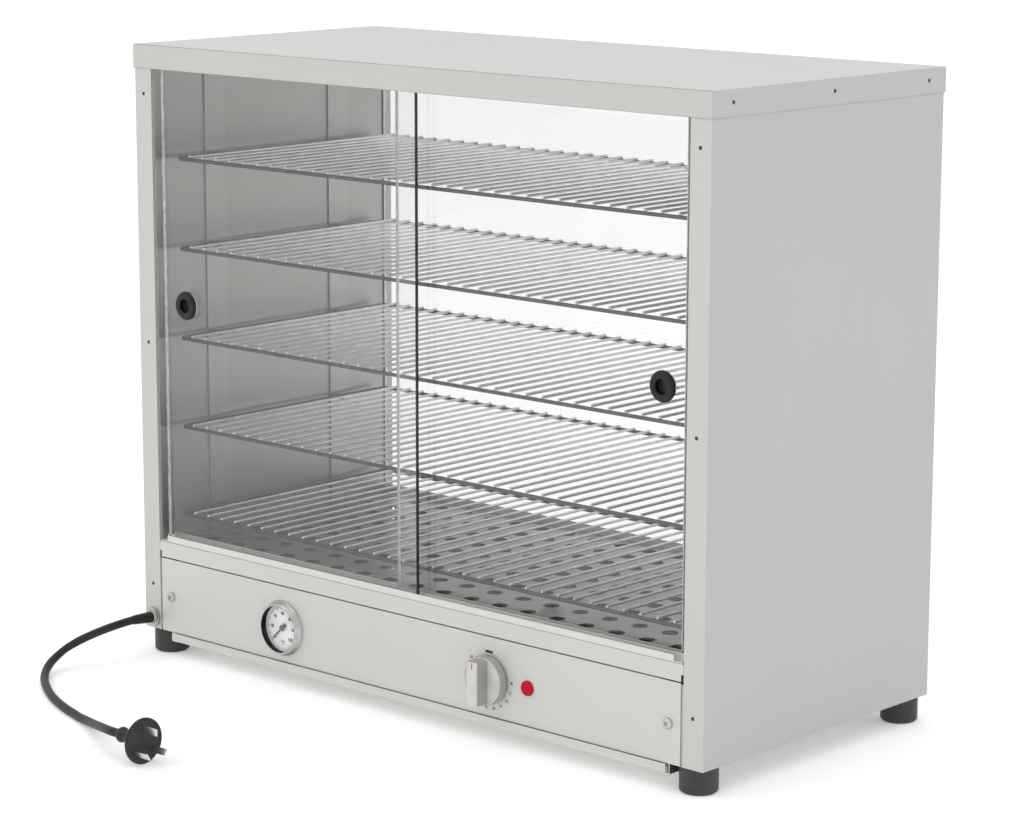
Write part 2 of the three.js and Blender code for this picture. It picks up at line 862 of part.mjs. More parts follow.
// Wire racks
function makeRack(height) {
  const innerA = rodReach - rodRadius;
  const innerB = rodReachBack - rodRadius;
  const span = [height - rodRadius, height + rodRadius];
  const outline = roundedRectangle(rodReach + rodRadius, rodReachBack + rodRadius, rackCorner);
  const gaps = Array.from({ length: wireCount + 1 }, (_, i) => {
    const left = (i - (wireCount + 1) / 2) * wirePitch + wireThickness / 2;
    const right = left + wirePitch - wireThickness;
    const across = [Math.max(left, -innerA), Math.min(right, innerA)];
    return block(across, [-innerB, innerB], [span[0] - overrun, span[1] + overrun]);
  });
  return cut(extrude(outline, "z", span, cornerSteps), ...gaps);
}

// Heating element
function makeElement() {
  const feed = elementFeedSpacing / 2;
  const nearRun = elementCentre - elementBend;
  const bendY = nearRun - elementFeedBend;
  const loopX = elementReach - elementBend;
  const level = elementHeight;
  const points = [
    new THREE.Vector3(-feed, wallFront - elementFeedLength, level),
    ...levelArc(-feed - elementFeedBend, bendY, level, elementFeedBend, 0, 90, bendSteps),
    ...levelArc(-loopX, elementCentre, level, elementBend, 270, 90, loopSteps),
    ...levelArc(loopX, elementCentre, level, elementBend, 90, -90, loopSteps),
    ...levelArc(feed + elementFeedBend, bendY, level, elementFeedBend, 90, 180, bendSteps),
    new THREE.Vector3(feed, wallFront - elementFeedLength, level),
  ];
  return tube(points, elementRadius);
}

function makeBracket(side) {
  const offset = elementReach - elementBend - bracketInset;
  const top = elementHeight - elementRadius - seatGap;
  const line = [
    [halfDepth - bodySheet - seatGap, top - bracketDrop],
    [halfDepth - bodySheet - seatGap, top],
    [wallRear + seatGap, top],
    [wallRear + seatGap, top - bracketDrop],
  ];
  return extrude(foldedSection(line, bracketSheet), "x", around(side * offset, bracketWidth));
}

// Crumb tray and its runners
function makeTray() {
  const half = trayReach;
  const top = trayUnderside + trayHeight;
  const shell = block([-half, half], [trayFront, trayRear], [trayUnderside, top]);
  const inside = block(
    [traySheet - half, half - traySheet],
    [trayFront + traySheet, trayRear - traySheet],
    [trayUnderside + traySheet, top + overrun]);
  const lip = block([-half, half], [trayFront - traySheet, trayFront + overlap], [trayLipBottom, trayLipTop]);
  return join(cut(shell, inside), lip);
}

function makeRunner(side) {
  const web = runnerWeb;
  const top = bodyUnderside - seatGap;
  const bottom = trayUnderside - seatGap - runnerSheet;
  const rear = trayRear + seatGap + runnerSheet;
  const along = [front + runnerSetback, rear];
  const flangeSpan = onSide(side, web - runnerFlange, web + overlap);
  return join(
    block(onSide(side, web, web + runnerSheet), along, [bottom, top]),
    block(flangeSpan, along, [bottom, bottom + runnerSheet]),
    block(flangeSpan, along, [top - runnerSheet, top]),
    block(flangeSpan, [rear - runnerSheet, rear], [bottom, top]));
}

// Feet
function makeFoot(side, end) {
  const profile = [
    [0, 0],
    [footRadius - footChamfer, 0],
    [footRadius, footChamfer],
    [footRadius, bodyUnderside - seatGap],
    [0, bodyUnderside - seatGap],
  ];
  const outline = profile.map(([radius, height]) => new THREE.Vector2(radius, height));
  const foot = geometryOf(solidOf(new THREE.LatheGeometry(outline, roundSides))).rotateX(Math.PI / 2);
  return foot.translate(side * footSpot[0], end * footSpot[1], 0);
}

// Thermostat
function makeKnob() {
  const place = [knobOffset, knobLine];
  const discFront = knobRear - knobDiscHeight;
  const disc = turned([
    [0, knobRear],
    [knobRadius, knobRear],
    [knobRadius, discFront + knobChamfer],
    [knobRadius - knobChamfer, discFront],
    [0, discFront],
  ], place);
  const grip = block(
    around(knobOffset, gripWidth), [knobFront, discFront + overlap], around(knobLine, gripLength));
  const bore = bar("y", place, spindleRadius + spindleClearance,
    [knobRear - spindleInKnob, knobRear + overrun]);
  return cut(join(disc, grip), bore);
}

function makeSpindle() {
  return bar("y", [knobOffset, knobLine], spindleRadius,
    [knobRear - spindleInKnob + seatGap, behindPanel + spindleInBody - seatGap]);
}

function makeControlBody() {
  const body = block(
    around(knobOffset, controlBodyWidth),
    [behindPanel, controlBodyRear],
    around(knobLine, controlBodyHeight));
  const bore = bar("y", [knobOffset, knobLine], spindleRadius + spindleClearance,
    [behindPanel - overrun, behindPanel + spindleInBody]);
  return cut(body, bore);
}

function makeBulb() {
  const level = knobLine + capillaryRise;
  const turnY = wallRear + capillaryRun;
  const bulbY = turnY + capillaryBend;
  const points = [
    new THREE.Vector3(knobOffset, controlBodyRear + seatGap, level),
    new THREE.Vector3(knobOffset, turnY, level),
    new THREE.Vector3(knobOffset, bulbY, level + capillaryBend),
    new THREE.Vector3(knobOffset, bulbY, bulbHeight),
  ];
  const bulb = bar("x", [bulbY, bulbHeight], bulbRadius,
    [knobOffset - bulbRadius, knobOffset + bulbLength], smallSides);
  return join(tube(points, capillaryRadius), bulb);
}

// Thermometer gauge
function makeBezel() {
  const bezelFront = bezelRear - bezelHeight;
  return turned([
    [bezelBoreRadius, bezelRear],
    [bezelBaseRadius, bezelRear],
    [bezelBaseRadius, bezelRear - bezelBaseBand],
    [bezelFrontRadius, bezelFront],
    [bezelLipRadius, bezelFront],
    [bezelLipRadius, bezelFront + bezelLip],
    [bezelBoreRadius, bezelFront + bezelLip],
    [bezelBoreRadius, bezelRear],
  ], [gaugeOffset, gaugeLine], fineSides);
}

function makeCase() {
  const rear = front + caseDepth;
  const ledge = dialFront + dialSheet + seatGap;
  return turned([
    [0, rear],
    [caseRadius, rear],
    [caseRadius, front],
    [caseBoreRadius, front],
    [caseBoreRadius, ledge],
    [caseLedgeRadius, ledge],
    [caseLedgeRadius, rear - caseRear],
    [0, rear - caseRear],
  ], [gaugeOffset, gaugeLine], fineSides);
}

function makeDial() {
  return turned([
    [dialHoleRadius, dialFront + dialSheet],
    [dialRadius, dialFront + dialSheet],
    [dialRadius, dialFront],
    [dialHoleRadius, dialFront],
    [dialHoleRadius, dialFront + dialSheet],
  ], [gaugeOffset, gaugeLine], fineSides);
}

function makeNeedle() {
  const rear = dialFront - needleRise;
  const blade = new THREE.Shape([
    new THREE.Vector2(needleTailWidth / 2, -needleTail),
    new THREE.Vector2(needleRootWidth / 2, 0),
    new THREE.Vector2(needleTipWidth / 2, needleLength),
    new THREE.Vector2(-needleTipWidth / 2, needleLength),
    new THREE.Vector2(-needleRootWidth / 2, 0),
    new THREE.Vector2(-needleTailWidth / 2, -needleTail),
  ]);
  const pointer = extrude(blade, "y", [rear - needleSheet, rear]);
  const hub = bar("y", [0, 0], hubRadius, [rear - hubHeight, rear], smallSides);
  const arbor = bar("y", [0, 0], arborRadius, [rear - overlap, rear + arborLength], tubeSides);
  const whole = join(pointer, hub, arbor);
  return whole.rotateY(THREE.MathUtils.degToRad(needleTurn)).translate(gaugeOffset, 0, gaugeLine);
}

function makeLens() {
  const lensFront = bezelRear - bezelHeight + bezelLip + seatGap;
  const limits = [lensFront, lensFront + lensSheet];
  return bar("y", [gaugeOffset, gaugeLine], bezelBoreRadius - seatGap, limits, fineSides);
}

// Pilot lamp
function makeLampLens() {
  const rear = front - seatGap;
  return turned([
    [0, rear + lampStemLength],
    [lampStemRadius, rear + lampStemLength],
    [lampStemRadius, rear],
    [lampRadius, rear],
    [lampRadius, rear - lampRim],
    [lampDomeRadius, rear - lampProud],
    [0, rear - lampProud],
  ], [lampOffset, lampLine], roundSides);
}

function makeLampBody() {
  const bore = lampStemRadius + lampClearance;
  return turned([
    [0, behindPanel + lampBodyLength],
    [lampBodyRadius, behindPanel + lampBodyLength],
    [lampBodyRadius, behindPanel],
    [bore, behindPanel],
    [bore, behindPanel + lampBodyBore],
    [0, behindPanel + lampBodyBore],
  ], [lampOffset, lampLine], roundSides);
}

// Control panel screws
function makeScrew(side) {
  const rear = front - seatGap;
  return turned([
    [0, rear + screwLength],
    [screwShankRadius, rear + screwLength],
    [screwShankRadius, rear],
    [screwHeadRadius, rear],
    [screwHeadRadius, rear - screwHeadHeight / 2],
    [screwHeadRadius / 2, rear - screwHeadHeight],
    [0, rear - screwHeadHeight],
  ], [side * screwReach, controlLine], smallSides);
}

// Cord gland with its nut
function makeGland() {
  const rear = front - seatGap;
  const nutFront = behindPanel;
  return turned([
    [0, nutFront + glandNutHeight],
    [glandNutRadius, nutFront + glandNutHeight],
    [glandNutRadius, nutFront],
    [glandStemRadius, nutFront],
    [glandStemRadius, rear],
    [glandRadius, rear],
    [glandRadius, rear - glandFlange],
    [glandDomeRadius, rear - glandProud],
    [0, rear - glandProud],
  ], [glandOffset, glandHeight], roundSides);
}

// Power cord
function makeCord() {
  const turn = THREE.MathUtils.degToRad(plugTurn);
  const axis = new THREE.Vector3(Math.cos(turn), Math.sin(turn), 0);
  const plugRear = plugFace.clone().addScaledVector(axis, -plugLength);
  const exit = front - seatGap - glandProud;
  const points = [
    new THREE.Vector3(glandOffset, exit - seatGap, glandHeight),
    ...cordRoute.map((point) => new THREE.Vector3(...point)),
    plugRear.clone().addScaledVector(axis, -cordStraight),
    plugRear.clone().addScaledVector(axis, -seatGap),
  ];
  return tube(points, cordRadius);
}

// Plug: its pieces lie along X behind the face, inside a turned group
const plug = new THREE.Group();
plug.position.copy(plugFace);
plug.rotation.z = THREE.MathUtils.degToRad(plugTurn);
cabinet.add(plug);

const pinPlaces = {
  earth: [0, earthPinHeight, 0],
  live: [livePinSpread, -livePinDrop, livePinSlant],
  neutral: [-livePinSpread, -livePinDrop, -livePinSlant],
};

function makePin([across, height, slant], clearance) {
  const pin = block(
    [-pinRoot - clearance, pinLength + clearance],
    around(0, pinSheet + 2 * clearance),
    around(0, pinWidth + 2 * clearance));
  return pin.rotateX(THREE.MathUtils.degToRad(-slant)).translate(0, across, height);
}

function makePlugBody() {
  const outline = [
    [0, -plugLength],
    [plugRearRadius, -plugLength],
    [plugCollarRadius, -plugCollarDepth],
    [plugNeckRadius, -plugNeckDepth],
    [plugRadius, -plugBodyDepth],
    [plugRadius, -plugEdge],
    [plugRadius - plugEdge, 0],
    [0, 0],
  ].map(([radius, along]) => new THREE.Vector2(radius, along));
  const body = new THREE.LatheGeometry(outline, fineSides).rotateZ(-Math.PI / 2);
  return cut(body, ...Object.values(pinPlaces).map((place) => makePin(place, seatGap)));
}

addPiece("lid", makeLid(), brushedSteel);
addPiece("inner_ceiling", makeCeiling(), linerSteel);
for (const [name, side] of Object.entries(sides)) {
  addPiece(`side_panel_${name}`, makeSidePanel(side), brushedSteel);
  addPiece(`side_liner_${name}`, makeLiner(side), linerSteel);
}
for (const [endName, end] of Object.entries(ends)) {
  for (const [sideName, side] of Object.entries(sides)) {
    addPiece(`rack_upright_${endName}_${sideName}`, makeUpright(side, end), brushedSteel);
    addPiece(`foot_${endName}_${sideName}`, makeFoot(side, end), blackPlastic);
  }
}
addPiece("control_panel", makeControlPanel(), brushedSteel);
addPiece("front_sill", makeSill(), brushedSteel);
addPiece("rear_panel", makeRearCover(), brushedSteel);
addPiece("base_pan", makeBasePan(), brushedSteel);
addPiece("floor_plate", makeFloorPlate(), linerSteel);
addPiece("control_box_wall", makeControlWall(), linerSteel);
addPiece("front_bottom_track", makeBottomTrack(), brushedSteel);
addPiece("front_top_track", makeTopTrack(), brushedSteel);
addPiece("rear_bottom_channel", makeRearChannel(trackFloor, trackFloor + bottomLip), brushedSteel);
addPiece("rear_top_channel", makeRearChannel(channelRoof, channelRoof - topLip), brushedSteel);
const paneReach = innerReach - paneEndGap;
const rearPane = block([-paneReach, paneReach], [paneFront, paneRear], [doorBottom, doorTop]);
addPiece("rear_glass", rearPane, clearGlass);
const leftDoor = makeDoor(sides.left, frontDoorFace, leftPullInset, leftPullHeight);
const rightDoor = makeDoor(sides.right, rearDoorFace, rightPullInset, rightPullHeight);
addPiece("door_left", leftDoor, clearGlass);
addPiece("door_right", rightDoor, clearGlass);
const leftPull = makePull(sides.left, frontDoorFace, leftPullInset, leftPullHeight);
const rightPull = makePull(sides.right, rearDoorFace, rightPullInset, rightPullHeight);
addPiece("door_pull_left", leftPull, blackPlastic);
addPiece("door_pull_right", rightPull, blackPlastic);
rackHeights.forEach((height, i) => addPiece(`rack_${i + 1}`, makeRack(height), rackWire));
addPiece("heating_element", makeElement(), darkMetal);
addPiece("crumb_tray", makeTray(), brushedSteel);
for (const [name, side] of Object.entries(sides)) {
  addPiece(`element_bracket_${name}`, makeBracket(side), brushedSteel);
  addPiece(`tray_runner_${name}`, makeRunner(side), brushedSteel);
  addPiece(`panel_screw_${name}`, makeScrew(side), brushedSteel);
}
const terminalFront = front + terminalSetback;
addPiece("terminal_block", block(
  around(terminalOffset, terminalWidth),
  [terminalFront, terminalFront + terminalDepth],
  [panTop + seatGap, panTop + seatGap + terminalHeight]), whitePaint);
addPiece("thermostat_knob", makeKnob(), greyPlastic);
addPiece("thermostat_spindle", makeSpindle(), chrome);
addPiece("thermostat_body", makeControlBody(), whitePaint);
addPiece("thermostat_bulb", makeBulb(), brass);
addPiece("gauge_bezel", makeBezel(), chrome);
addPiece("gauge_case", makeCase(), blackPlastic);
addPiece("gauge_dial", makeDial(), whitePaint);
addPiece("gauge_needle", makeNeedle(), blackPlastic);
addPiece("gauge_lens", makeLens(), clearGlass);
addPiece("lamp_lens", makeLampLens(), redPlastic);
addPiece("lamp_body", makeLampBody(), blackPlastic);
addPiece("cord_gland", makeGland(), chrome);
addPiece("power_cord", makeCord(), blackPlastic);
addPiece("plug_body", makePlugBody(), blackPlastic, plug);
for (const [name, place] of Object.entries(pinPlaces)) {
  addPiece(`plug_pin_${name}`, makePin(place, 0), brass, plug);
}

export default cabinet;
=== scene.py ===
"""Dresses a counter-top pie display cabinet around its fixed frame, in metres."""

import json
import logging
import math
from dataclasses import dataclass, field
from enum import Enum
from typing import Callable, Sequence

import bpy
from mathutils import Matrix, Vector

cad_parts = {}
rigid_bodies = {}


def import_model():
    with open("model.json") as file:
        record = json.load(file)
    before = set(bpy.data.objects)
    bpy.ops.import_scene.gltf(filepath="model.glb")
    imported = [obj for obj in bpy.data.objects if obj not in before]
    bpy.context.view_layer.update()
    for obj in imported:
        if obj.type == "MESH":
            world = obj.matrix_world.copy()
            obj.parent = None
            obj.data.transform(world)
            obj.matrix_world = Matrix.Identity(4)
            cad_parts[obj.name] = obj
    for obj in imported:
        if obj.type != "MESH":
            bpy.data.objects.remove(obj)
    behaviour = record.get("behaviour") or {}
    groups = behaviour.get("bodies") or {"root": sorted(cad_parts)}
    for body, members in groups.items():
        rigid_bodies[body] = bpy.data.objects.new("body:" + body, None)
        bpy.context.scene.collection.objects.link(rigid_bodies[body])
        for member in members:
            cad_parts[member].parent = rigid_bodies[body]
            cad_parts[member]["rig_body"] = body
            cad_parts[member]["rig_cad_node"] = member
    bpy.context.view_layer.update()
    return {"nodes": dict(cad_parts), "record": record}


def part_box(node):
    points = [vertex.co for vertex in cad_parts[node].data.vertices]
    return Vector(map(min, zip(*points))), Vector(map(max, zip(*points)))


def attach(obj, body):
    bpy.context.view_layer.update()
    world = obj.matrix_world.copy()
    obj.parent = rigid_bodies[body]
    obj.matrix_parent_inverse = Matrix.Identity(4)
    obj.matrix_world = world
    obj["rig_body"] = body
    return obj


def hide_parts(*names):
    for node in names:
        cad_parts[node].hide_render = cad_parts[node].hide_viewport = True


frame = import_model()

LOG = logging.getLogger("pie_cabinet")
MM = 0.001
# A softened sheet's faces above this area keep their own normals
LARGE_FACE = 400 * MM * MM
# The cabinet's middle lies this many millimetres behind the frame's origin
BODY_MIDDLE = 11.25
ENDS = ("front", "rear")
BODY_OF = {
    node: body
    for body, nodes in frame["record"]["behaviour"]["bodies"].items()
    for node in nodes
}

Piece = bpy.types.Object
Socket = bpy.types.NodeSocket
Triple = tuple[float, float, float]
Profile = Sequence[tuple[float, float]]


class Axis(Enum):
    """The direction that a turned piece's own axis points in."""

    UP = (0.0, 0.0, 1.0)
    FRONT = (0.0, -1.0, 0.0)
    BACK = (0.0, 1.0, 0.0)
    RIGHT = (1.0, 0.0, 0.0)
    LEFT = (-1.0, 0.0, 0.0)


class Side(Enum):
    """The two sides of the cabinet, as signs of X."""

    LEFT = -1
    RIGHT = 1

    @property
    def word(self) -> str:
        """The side's name in lower case."""
        return self.name.lower()


class Grain(Enum):
    """The way a sheet's brushing runs, as stretch factors along X, Y and Z."""

    ACROSS = (0.02, 1.0, 1.0)
    UPRIGHT = (1.0, 1.0, 0.02)


class Graph:
    """A material's node tree while it is being built."""

    def __init__(self, name: str) -> None:
        """Starts a named material with one Principled shader."""
        self.material = bpy.data.materials.new(name)
        self.material.use_nodes = True
        self.tree = self.material.node_tree
        self.shader = self.tree.nodes["Principled BSDF"]

    @staticmethod
    def fill(node: bpy.types.Node, values: dict[str, object]) -> None:
        """Sets constants on a node's own sockets, named with underscores for spaces."""
        for name, value in values.items():
            node.inputs[name.replace("_", " ")].default_value = value

    def set(self, **values: object) -> None:
        """Sets constants on the shader."""
        self.fill(self.shader, values)

    def add(self, kind: str, **values: object) -> bpy.types.Node:
        """Adds a node and sets its unlinked sockets.

        Args:
            kind: the node's type name.
            values: constants, named with underscores for spaces.

        Returns:
            The new node.
        """
        node = self.tree.nodes.new(kind)
        self.fill(node, values)
        return node

    def link(self, output: Socket, target: Socket) -> None:
        """Joins two sockets."""
        self.tree.links.new(output, target)

    def feed(self, output: Socket, socket: str) -> None:
        """Joins an output to one of the shader's sockets."""
        self.link(output, self.shader.inputs[socket])

    def noise(
        self, scale: float, detail: float = 3.0, rough: float = 0.5, stretch: Triple = (1.0, 1.0, 1.0)
    ) -> Socket:
        """A noise value from 0 to 1 over the object's own coordinates.

        Args:
            scale: features per metre.
            detail: octaves.
            rough: weight of the finer octaves.
            stretch: scale along each axis.

        Returns:
            The value socket.
        """
        coordinates = self.add("ShaderNodeTexCoord")
        mapping = self.add("ShaderNodeMapping", Scale=stretch)
        self.link(coordinates.outputs["Object"], mapping.inputs["Vector"])
        node = self.add("ShaderNodeTexNoise", Scale=scale, Detail=detail, Roughness=rough)
        self.link(mapping.outputs["Vector"], node.inputs["Vector"])
        return node.outputs["Fac"]

    def span(self, value: Socket, low: float, high: float, start: float = 0.3, end: float = 0.7) -> Socket:
        """Maps a value onto a range, clamped.

        Args:
            value: the input.
            low: the result at start.
            high: the result at end.
            start: input that gives low.
            end: input that gives high.

        Returns:
            The mapped value socket.
        """
        node = self.add("ShaderNodeMapRange", From_Min=start, From_Max=end, To_Min=low, To_Max=high)
        self.link(value, node.inputs["Value"])
        return node.outputs["Result"]

    def combine(self, operation: str, first: Socket, second: Socket | float) -> Socket:
        """Joins two values by arithmetic.

        Args:
            operation: the Math node's operation.
            first: the first value.
            second: the second value, or a constant.

        Returns:
            The value socket.
        """
        node = self.add("ShaderNodeMath")
        node.operation = operation
        self.link(first, node.inputs[0])
        if isinstance(second, float):
            node.inputs[1].default_value = second
        else:
            self.link(second, node.inputs[1])
        return node.outputs["Value"]

    def tint(self, value: Socket, first: Sequence[float], second: Sequence[float]) -> None:
        """Feeds the shader a blend of two colours.

        Args:
            value: the share of the second colour.
            first: linear colour at 0.
            second: linear colour at 1.
        """
        node = self.add("ShaderNodeMix")
        node.data_type = "RGBA"
        node.inputs["A"].default_value = (*first, 1.0)
        node.inputs["B"].default_value = (*second, 1.0)
        self.link(value, node.inputs["Factor"])
        self.feed(node.outputs["Result"], "Base Color")

    def roughen(self, value: Socket, low: float, high: float) -> None:
        """Feeds the shader a roughness between two limits."""
        self.feed(self.span(value, low, high), "Roughness")

    def bump(self, height: Socket, strength: float, distance: float) -> None:
        """Gives the shader a bump.

        Args:
            height: the height socket.
            strength: from 0 to 1.
            distance: depth in millimetres.
        """
        node = self.add("ShaderNodeBump", Strength=strength, Distance=distance * MM)
        self.link(height, node.inputs["Height"])
        self.feed(node.outputs["Normal"], "Normal")


def linear(red: int, green: int, blue: int) -> Triple:
    """Turns a display colour, from 0 to 255 in each channel, into a linear one."""
    shares = (red / 255, green / 255, blue / 255)
    return tuple(s / 12.92 if s <= 0.04045 else ((s + 0.055) / 1.055) ** 2.4 for s in shares)


def shade(colour: Triple, factor: float) -> tuple[float, ...]:
    """A colour made lighter or darker."""
    return tuple(min(1.0, channel * factor) for channel in colour)


@dataclass(frozen=True)
class Finish:
    """A named finish that builds its material once."""

    name: str

    def material(self) -> bpy.types.Material:
        """The finish's material, built on first use."""
        known = bpy.data.materials.get(self.name)
        if known:
            return known
        graph = Graph(self.name)
        self.build(graph)
        return graph.material

    def build(self, graph: Graph) -> None:
        """Builds the finish's nodes."""
        raise NotImplementedError


@dataclass(frozen=True)
class BrushedSheet(Finish):
    """Dull brushed stainless sheet: fine streaks, slight clouding and faint wiping marks."""

    colour: Triple
    grain: Grain = Grain.ACROSS
    roughness: float = 0.55
    metallic: float = 0.35
    streak: float = 0.01
    cloud: float = 0.01
    relief: float = 0.01
    sheen: float = 0.02

    def build(self, graph: Graph) -> None:
        """Builds the finish's nodes."""
        graph.set(Metallic=self.metallic)
        streaks = graph.noise(2600.0, 4.0, 0.62, self.grain.value)
        bands = graph.noise(420.0, stretch=self.grain.value)
        clouds = graph.noise(6.0, 2.0, 0.45)
        low = 1.0 - self.streak
        fine = graph.span(streaks, low, 1.0 + self.streak)
        broad = graph.span(clouds, 1.0 - self.cloud, 1.0 + self.cloud)
        mixed = graph.combine("MULTIPLY", fine, broad)
        share = graph.span(mixed, 0.0, 1.0, low * (1.0 - self.cloud), 1.0 + 2 * self.streak)
        depth = self.streak + self.cloud
        graph.tint(share, shade(self.colour, 1.0 - depth), shade(self.colour, 1.0 + depth))
        graph.roughen(bands, self.roughness - self.sheen, self.roughness + self.sheen)
        graph.bump(streaks, self.relief, 0.02)


@dataclass(frozen=True)
class BrightSheet(BrushedSheet):
    """Brighter brushed sheet, with plainer streaks."""

    roughness: float = 0.3
    metallic: float = 1.0
    streak: float = 0.02
    cloud: float = 0.02
    relief: float = 0.04
    sheen: float = 0.04


@dataclass(frozen=True)
class PlatedWire(Finish):
    """Bright plated metal with a slightly uneven gloss."""

    colour: Triple
    roughness: float
    unevenness: float = 0.06

    def build(self, graph: Graph) -> None:
        """Builds the finish's nodes."""
        graph.set(Metallic=1.0)
        cloud = graph.noise(90.0)
        graph.tint(graph.span(cloud, 0.0, 1.0), shade(self.colour, 0.86), shade(self.colour, 1.06))
        graph.roughen(cloud, self.roughness + self.unevenness, self.roughness)
        graph.bump(graph.noise(1800.0, 2.0), 0.05, 0.02)


@dataclass(frozen=True)
class PaneGlass(Finish):
    """Clear sheet glass: a thin mirror by the angle, see-through for the rest."""

    facing: float = 0.08
    grazing: float = 0.75
    haze: float = 0.003
    tone: Triple = (0.5, 0.53, 0.52)
    steepness: float = 4.0

    def build(self, graph: Graph) -> None:
        """Builds the finish's nodes."""
        graph.set(Metallic=1.0, Roughness=0.015, Base_Color=(*self.tone, 1.0))
        weight = graph.add("ShaderNodeLayerWeight", Blend=0.5)
        curve = graph.combine("POWER", weight.outputs["Facing"], self.steepness)
        mirror = graph.span(curve, self.facing, self.grazing, 0.0, 1.0)
        wipes = graph.noise(22.0, 4.0, 0.6, (1.0, 1.0, 0.25))
        film = graph.span(wipes, 0.0, self.haze, 0.45, 0.75)
        graph.feed(graph.combine("ADD", mirror, film), "Alpha")


@dataclass(frozen=True)
class GroundEdge(Finish):
    """The ground edge of a pane."""

    colour: Triple

    def build(self, graph: Graph) -> None:
        """Builds the finish's nodes."""
        graph.set(Metallic=0.2)
        marks = graph.noise(900.0, 3.0, 0.6, (1.0, 1.0, 0.1))
        graph.tint(graph.span(marks, 0.0, 1.0), shade(self.colour, 0.7), shade(self.colour, 1.3))
        graph.roughen(marks, 0.2, 0.36)
        graph.bump(marks, 0.1, 0.03)


@dataclass(frozen=True)
class Moulded(Finish):
    """Moulded plastic or rubber with a fine spark-eroded skin."""

    colour: Triple
    roughness: float
    skin: float = 0.12
    scale: float = 1400.0
    gloss: float = 0.5

    def build(self, graph: Graph) -> None:
        """Builds the finish's nodes."""
        graph.set(Specular_IOR_Level=self.gloss)
        fine = graph.noise(self.scale, 3.0, 0.55)
        broad = graph.noise(60.0)
        graph.tint(graph.span(broad, 0.0, 1.0), shade(self.colour, 0.88), shade(self.colour, 1.12))
        graph.roughen(fine, self.roughness - 0.05, self.roughness + 0.07)
        graph.bump(fine, self.skin, 0.05)


@dataclass(frozen=True)
class Scale(Finish):
    """A heat-darkened sheath, mottled with oxide."""

    colour: Triple
    oxide: Triple

    def build(self, graph: Graph) -> None:
        """Builds the finish's nodes."""
        graph.set(Metallic=0.8)
        mottle = graph.noise(140.0, 5.0, 0.6)
        graph.tint(graph.span(mottle, 0.0, 1.0, 0.4, 0.65), self.colour, self.oxide)
        graph.roughen(mottle, 0.4, 0.65)
        graph.bump(mottle, 0.2, 0.1)


FRONT_STEEL = BrushedSheet("front_steel", linear(205, 204, 200), relief=0.015)
COLUMN_STEEL = BrushedSheet("column_steel", linear(197, 196, 193), Grain.UPRIGHT)
# Painted shade: this darker copy of the sheet goes on the faces of the side panels and the lid that look to
# the sides, against the lighter column and front copies
SIDE_STEEL_SHADED = BrushedSheet(
    "side_steel", linear(185, 185, 185), Grain.UPRIGHT, streak=0.008, relief=0.005, sheen=0.01)
# The lid's top and its fascia wear copies of one sheet in tones set by the way they face: painted light and
# shade
LID_STEEL = BrushedSheet("lid_steel", linear(201, 202, 200), roughness=0.7, metallic=0.15)
FASCIA_STEEL = BrushedSheet("fascia_steel", linear(195, 193, 190))
INNER_STEEL = BrushedSheet(
    "inner_steel", linear(168, 168, 164), Grain.UPRIGHT, 0.36, 0.8, 0.006, 0.02, 0.005, 0.015)
UPRIGHT_STEEL = BrushedSheet("upright_steel", linear(174, 174, 170), Grain.UPRIGHT, 0.36, 0.8, 0.008, 0.02)
TRACK_STEEL = BrightSheet("track_steel", linear(212, 212, 208), roughness=0.5, metallic=0.3)
# Painted light: the liners' faces that look front or back wear this lighter copy of the inner steel
FOLD_STEEL_LIT = BrightSheet("fold_steel", linear(190, 190, 186), Grain.UPRIGHT, 0.45, 0.4)
FLOOR_STEEL = BrightSheet("floor_steel", linear(146, 146, 143), cloud=0.04)
PART_STEEL = BrightSheet("part_steel", linear(200, 200, 196))
WIRE = PlatedWire("rack_plating", linear(212, 212, 210), 0.3)
# Painted dark reflection: the rack frame's rods wear the wires' plating made dark, for the dark room that
# they reflect
ROD_DARK_REFLECTION = PlatedWire("rod_plating", linear(84, 84, 83), 0.34)
CHROME = PlatedWire("polished_chrome", linear(190, 190, 189), 0.26)
SATIN = PlatedWire("satin_screw", linear(196, 196, 194), 0.36)
NICKEL = PlatedWire("gland_nickel", linear(176, 176, 172), 0.34)
BRASS = PlatedWire("pin_metal", linear(222, 220, 214), 0.28)
RIVET = PlatedWire("rivet_metal", linear(84, 83, 81), 0.4)
GLASS = PaneGlass("door_glass")
LENS_GLASS = PaneGlass("gauge_window", facing=0.02, grazing=0.4)
# Painted shade: the front door's edge that ends in the opening is made dark where it stands before the dark
# inside
SHADED_EDGE = GroundEdge("dark_glass_edge", linear(52, 55, 53))
PALE_EDGE = GroundEdge("pale_glass_edge", linear(226, 231, 229))
BLACK = Moulded("black_plastic", linear(38, 38, 37), 0.38)
PULL_BLACK = Moulded("pull_black", linear(16, 16, 16), 0.34, gloss=0.35)
# Painted shade: the gauge bezel's bore is made near-black for the shade in its recess
RECESS_SHADE_BLACK = Moulded("recess_black", linear(14, 14, 14), 0.6, 0.04, gloss=0.15)
FOOT_BLACK = Moulded("foot_black", linear(54, 54, 53), 0.5, 0.2, 900.0, 0.4)
PLUG_BLACK = Moulded("plug_black", linear(34, 34, 33), 0.42, 0.15, gloss=0.4)
CORD_BLACK = Moulded("cord_sheath", linear(28, 28, 28), 0.5, 0.16, 1100.0, 0.4)
KNOB_GREY = Moulded("knob_grey", linear(204, 204, 199), 0.4, 0.08)
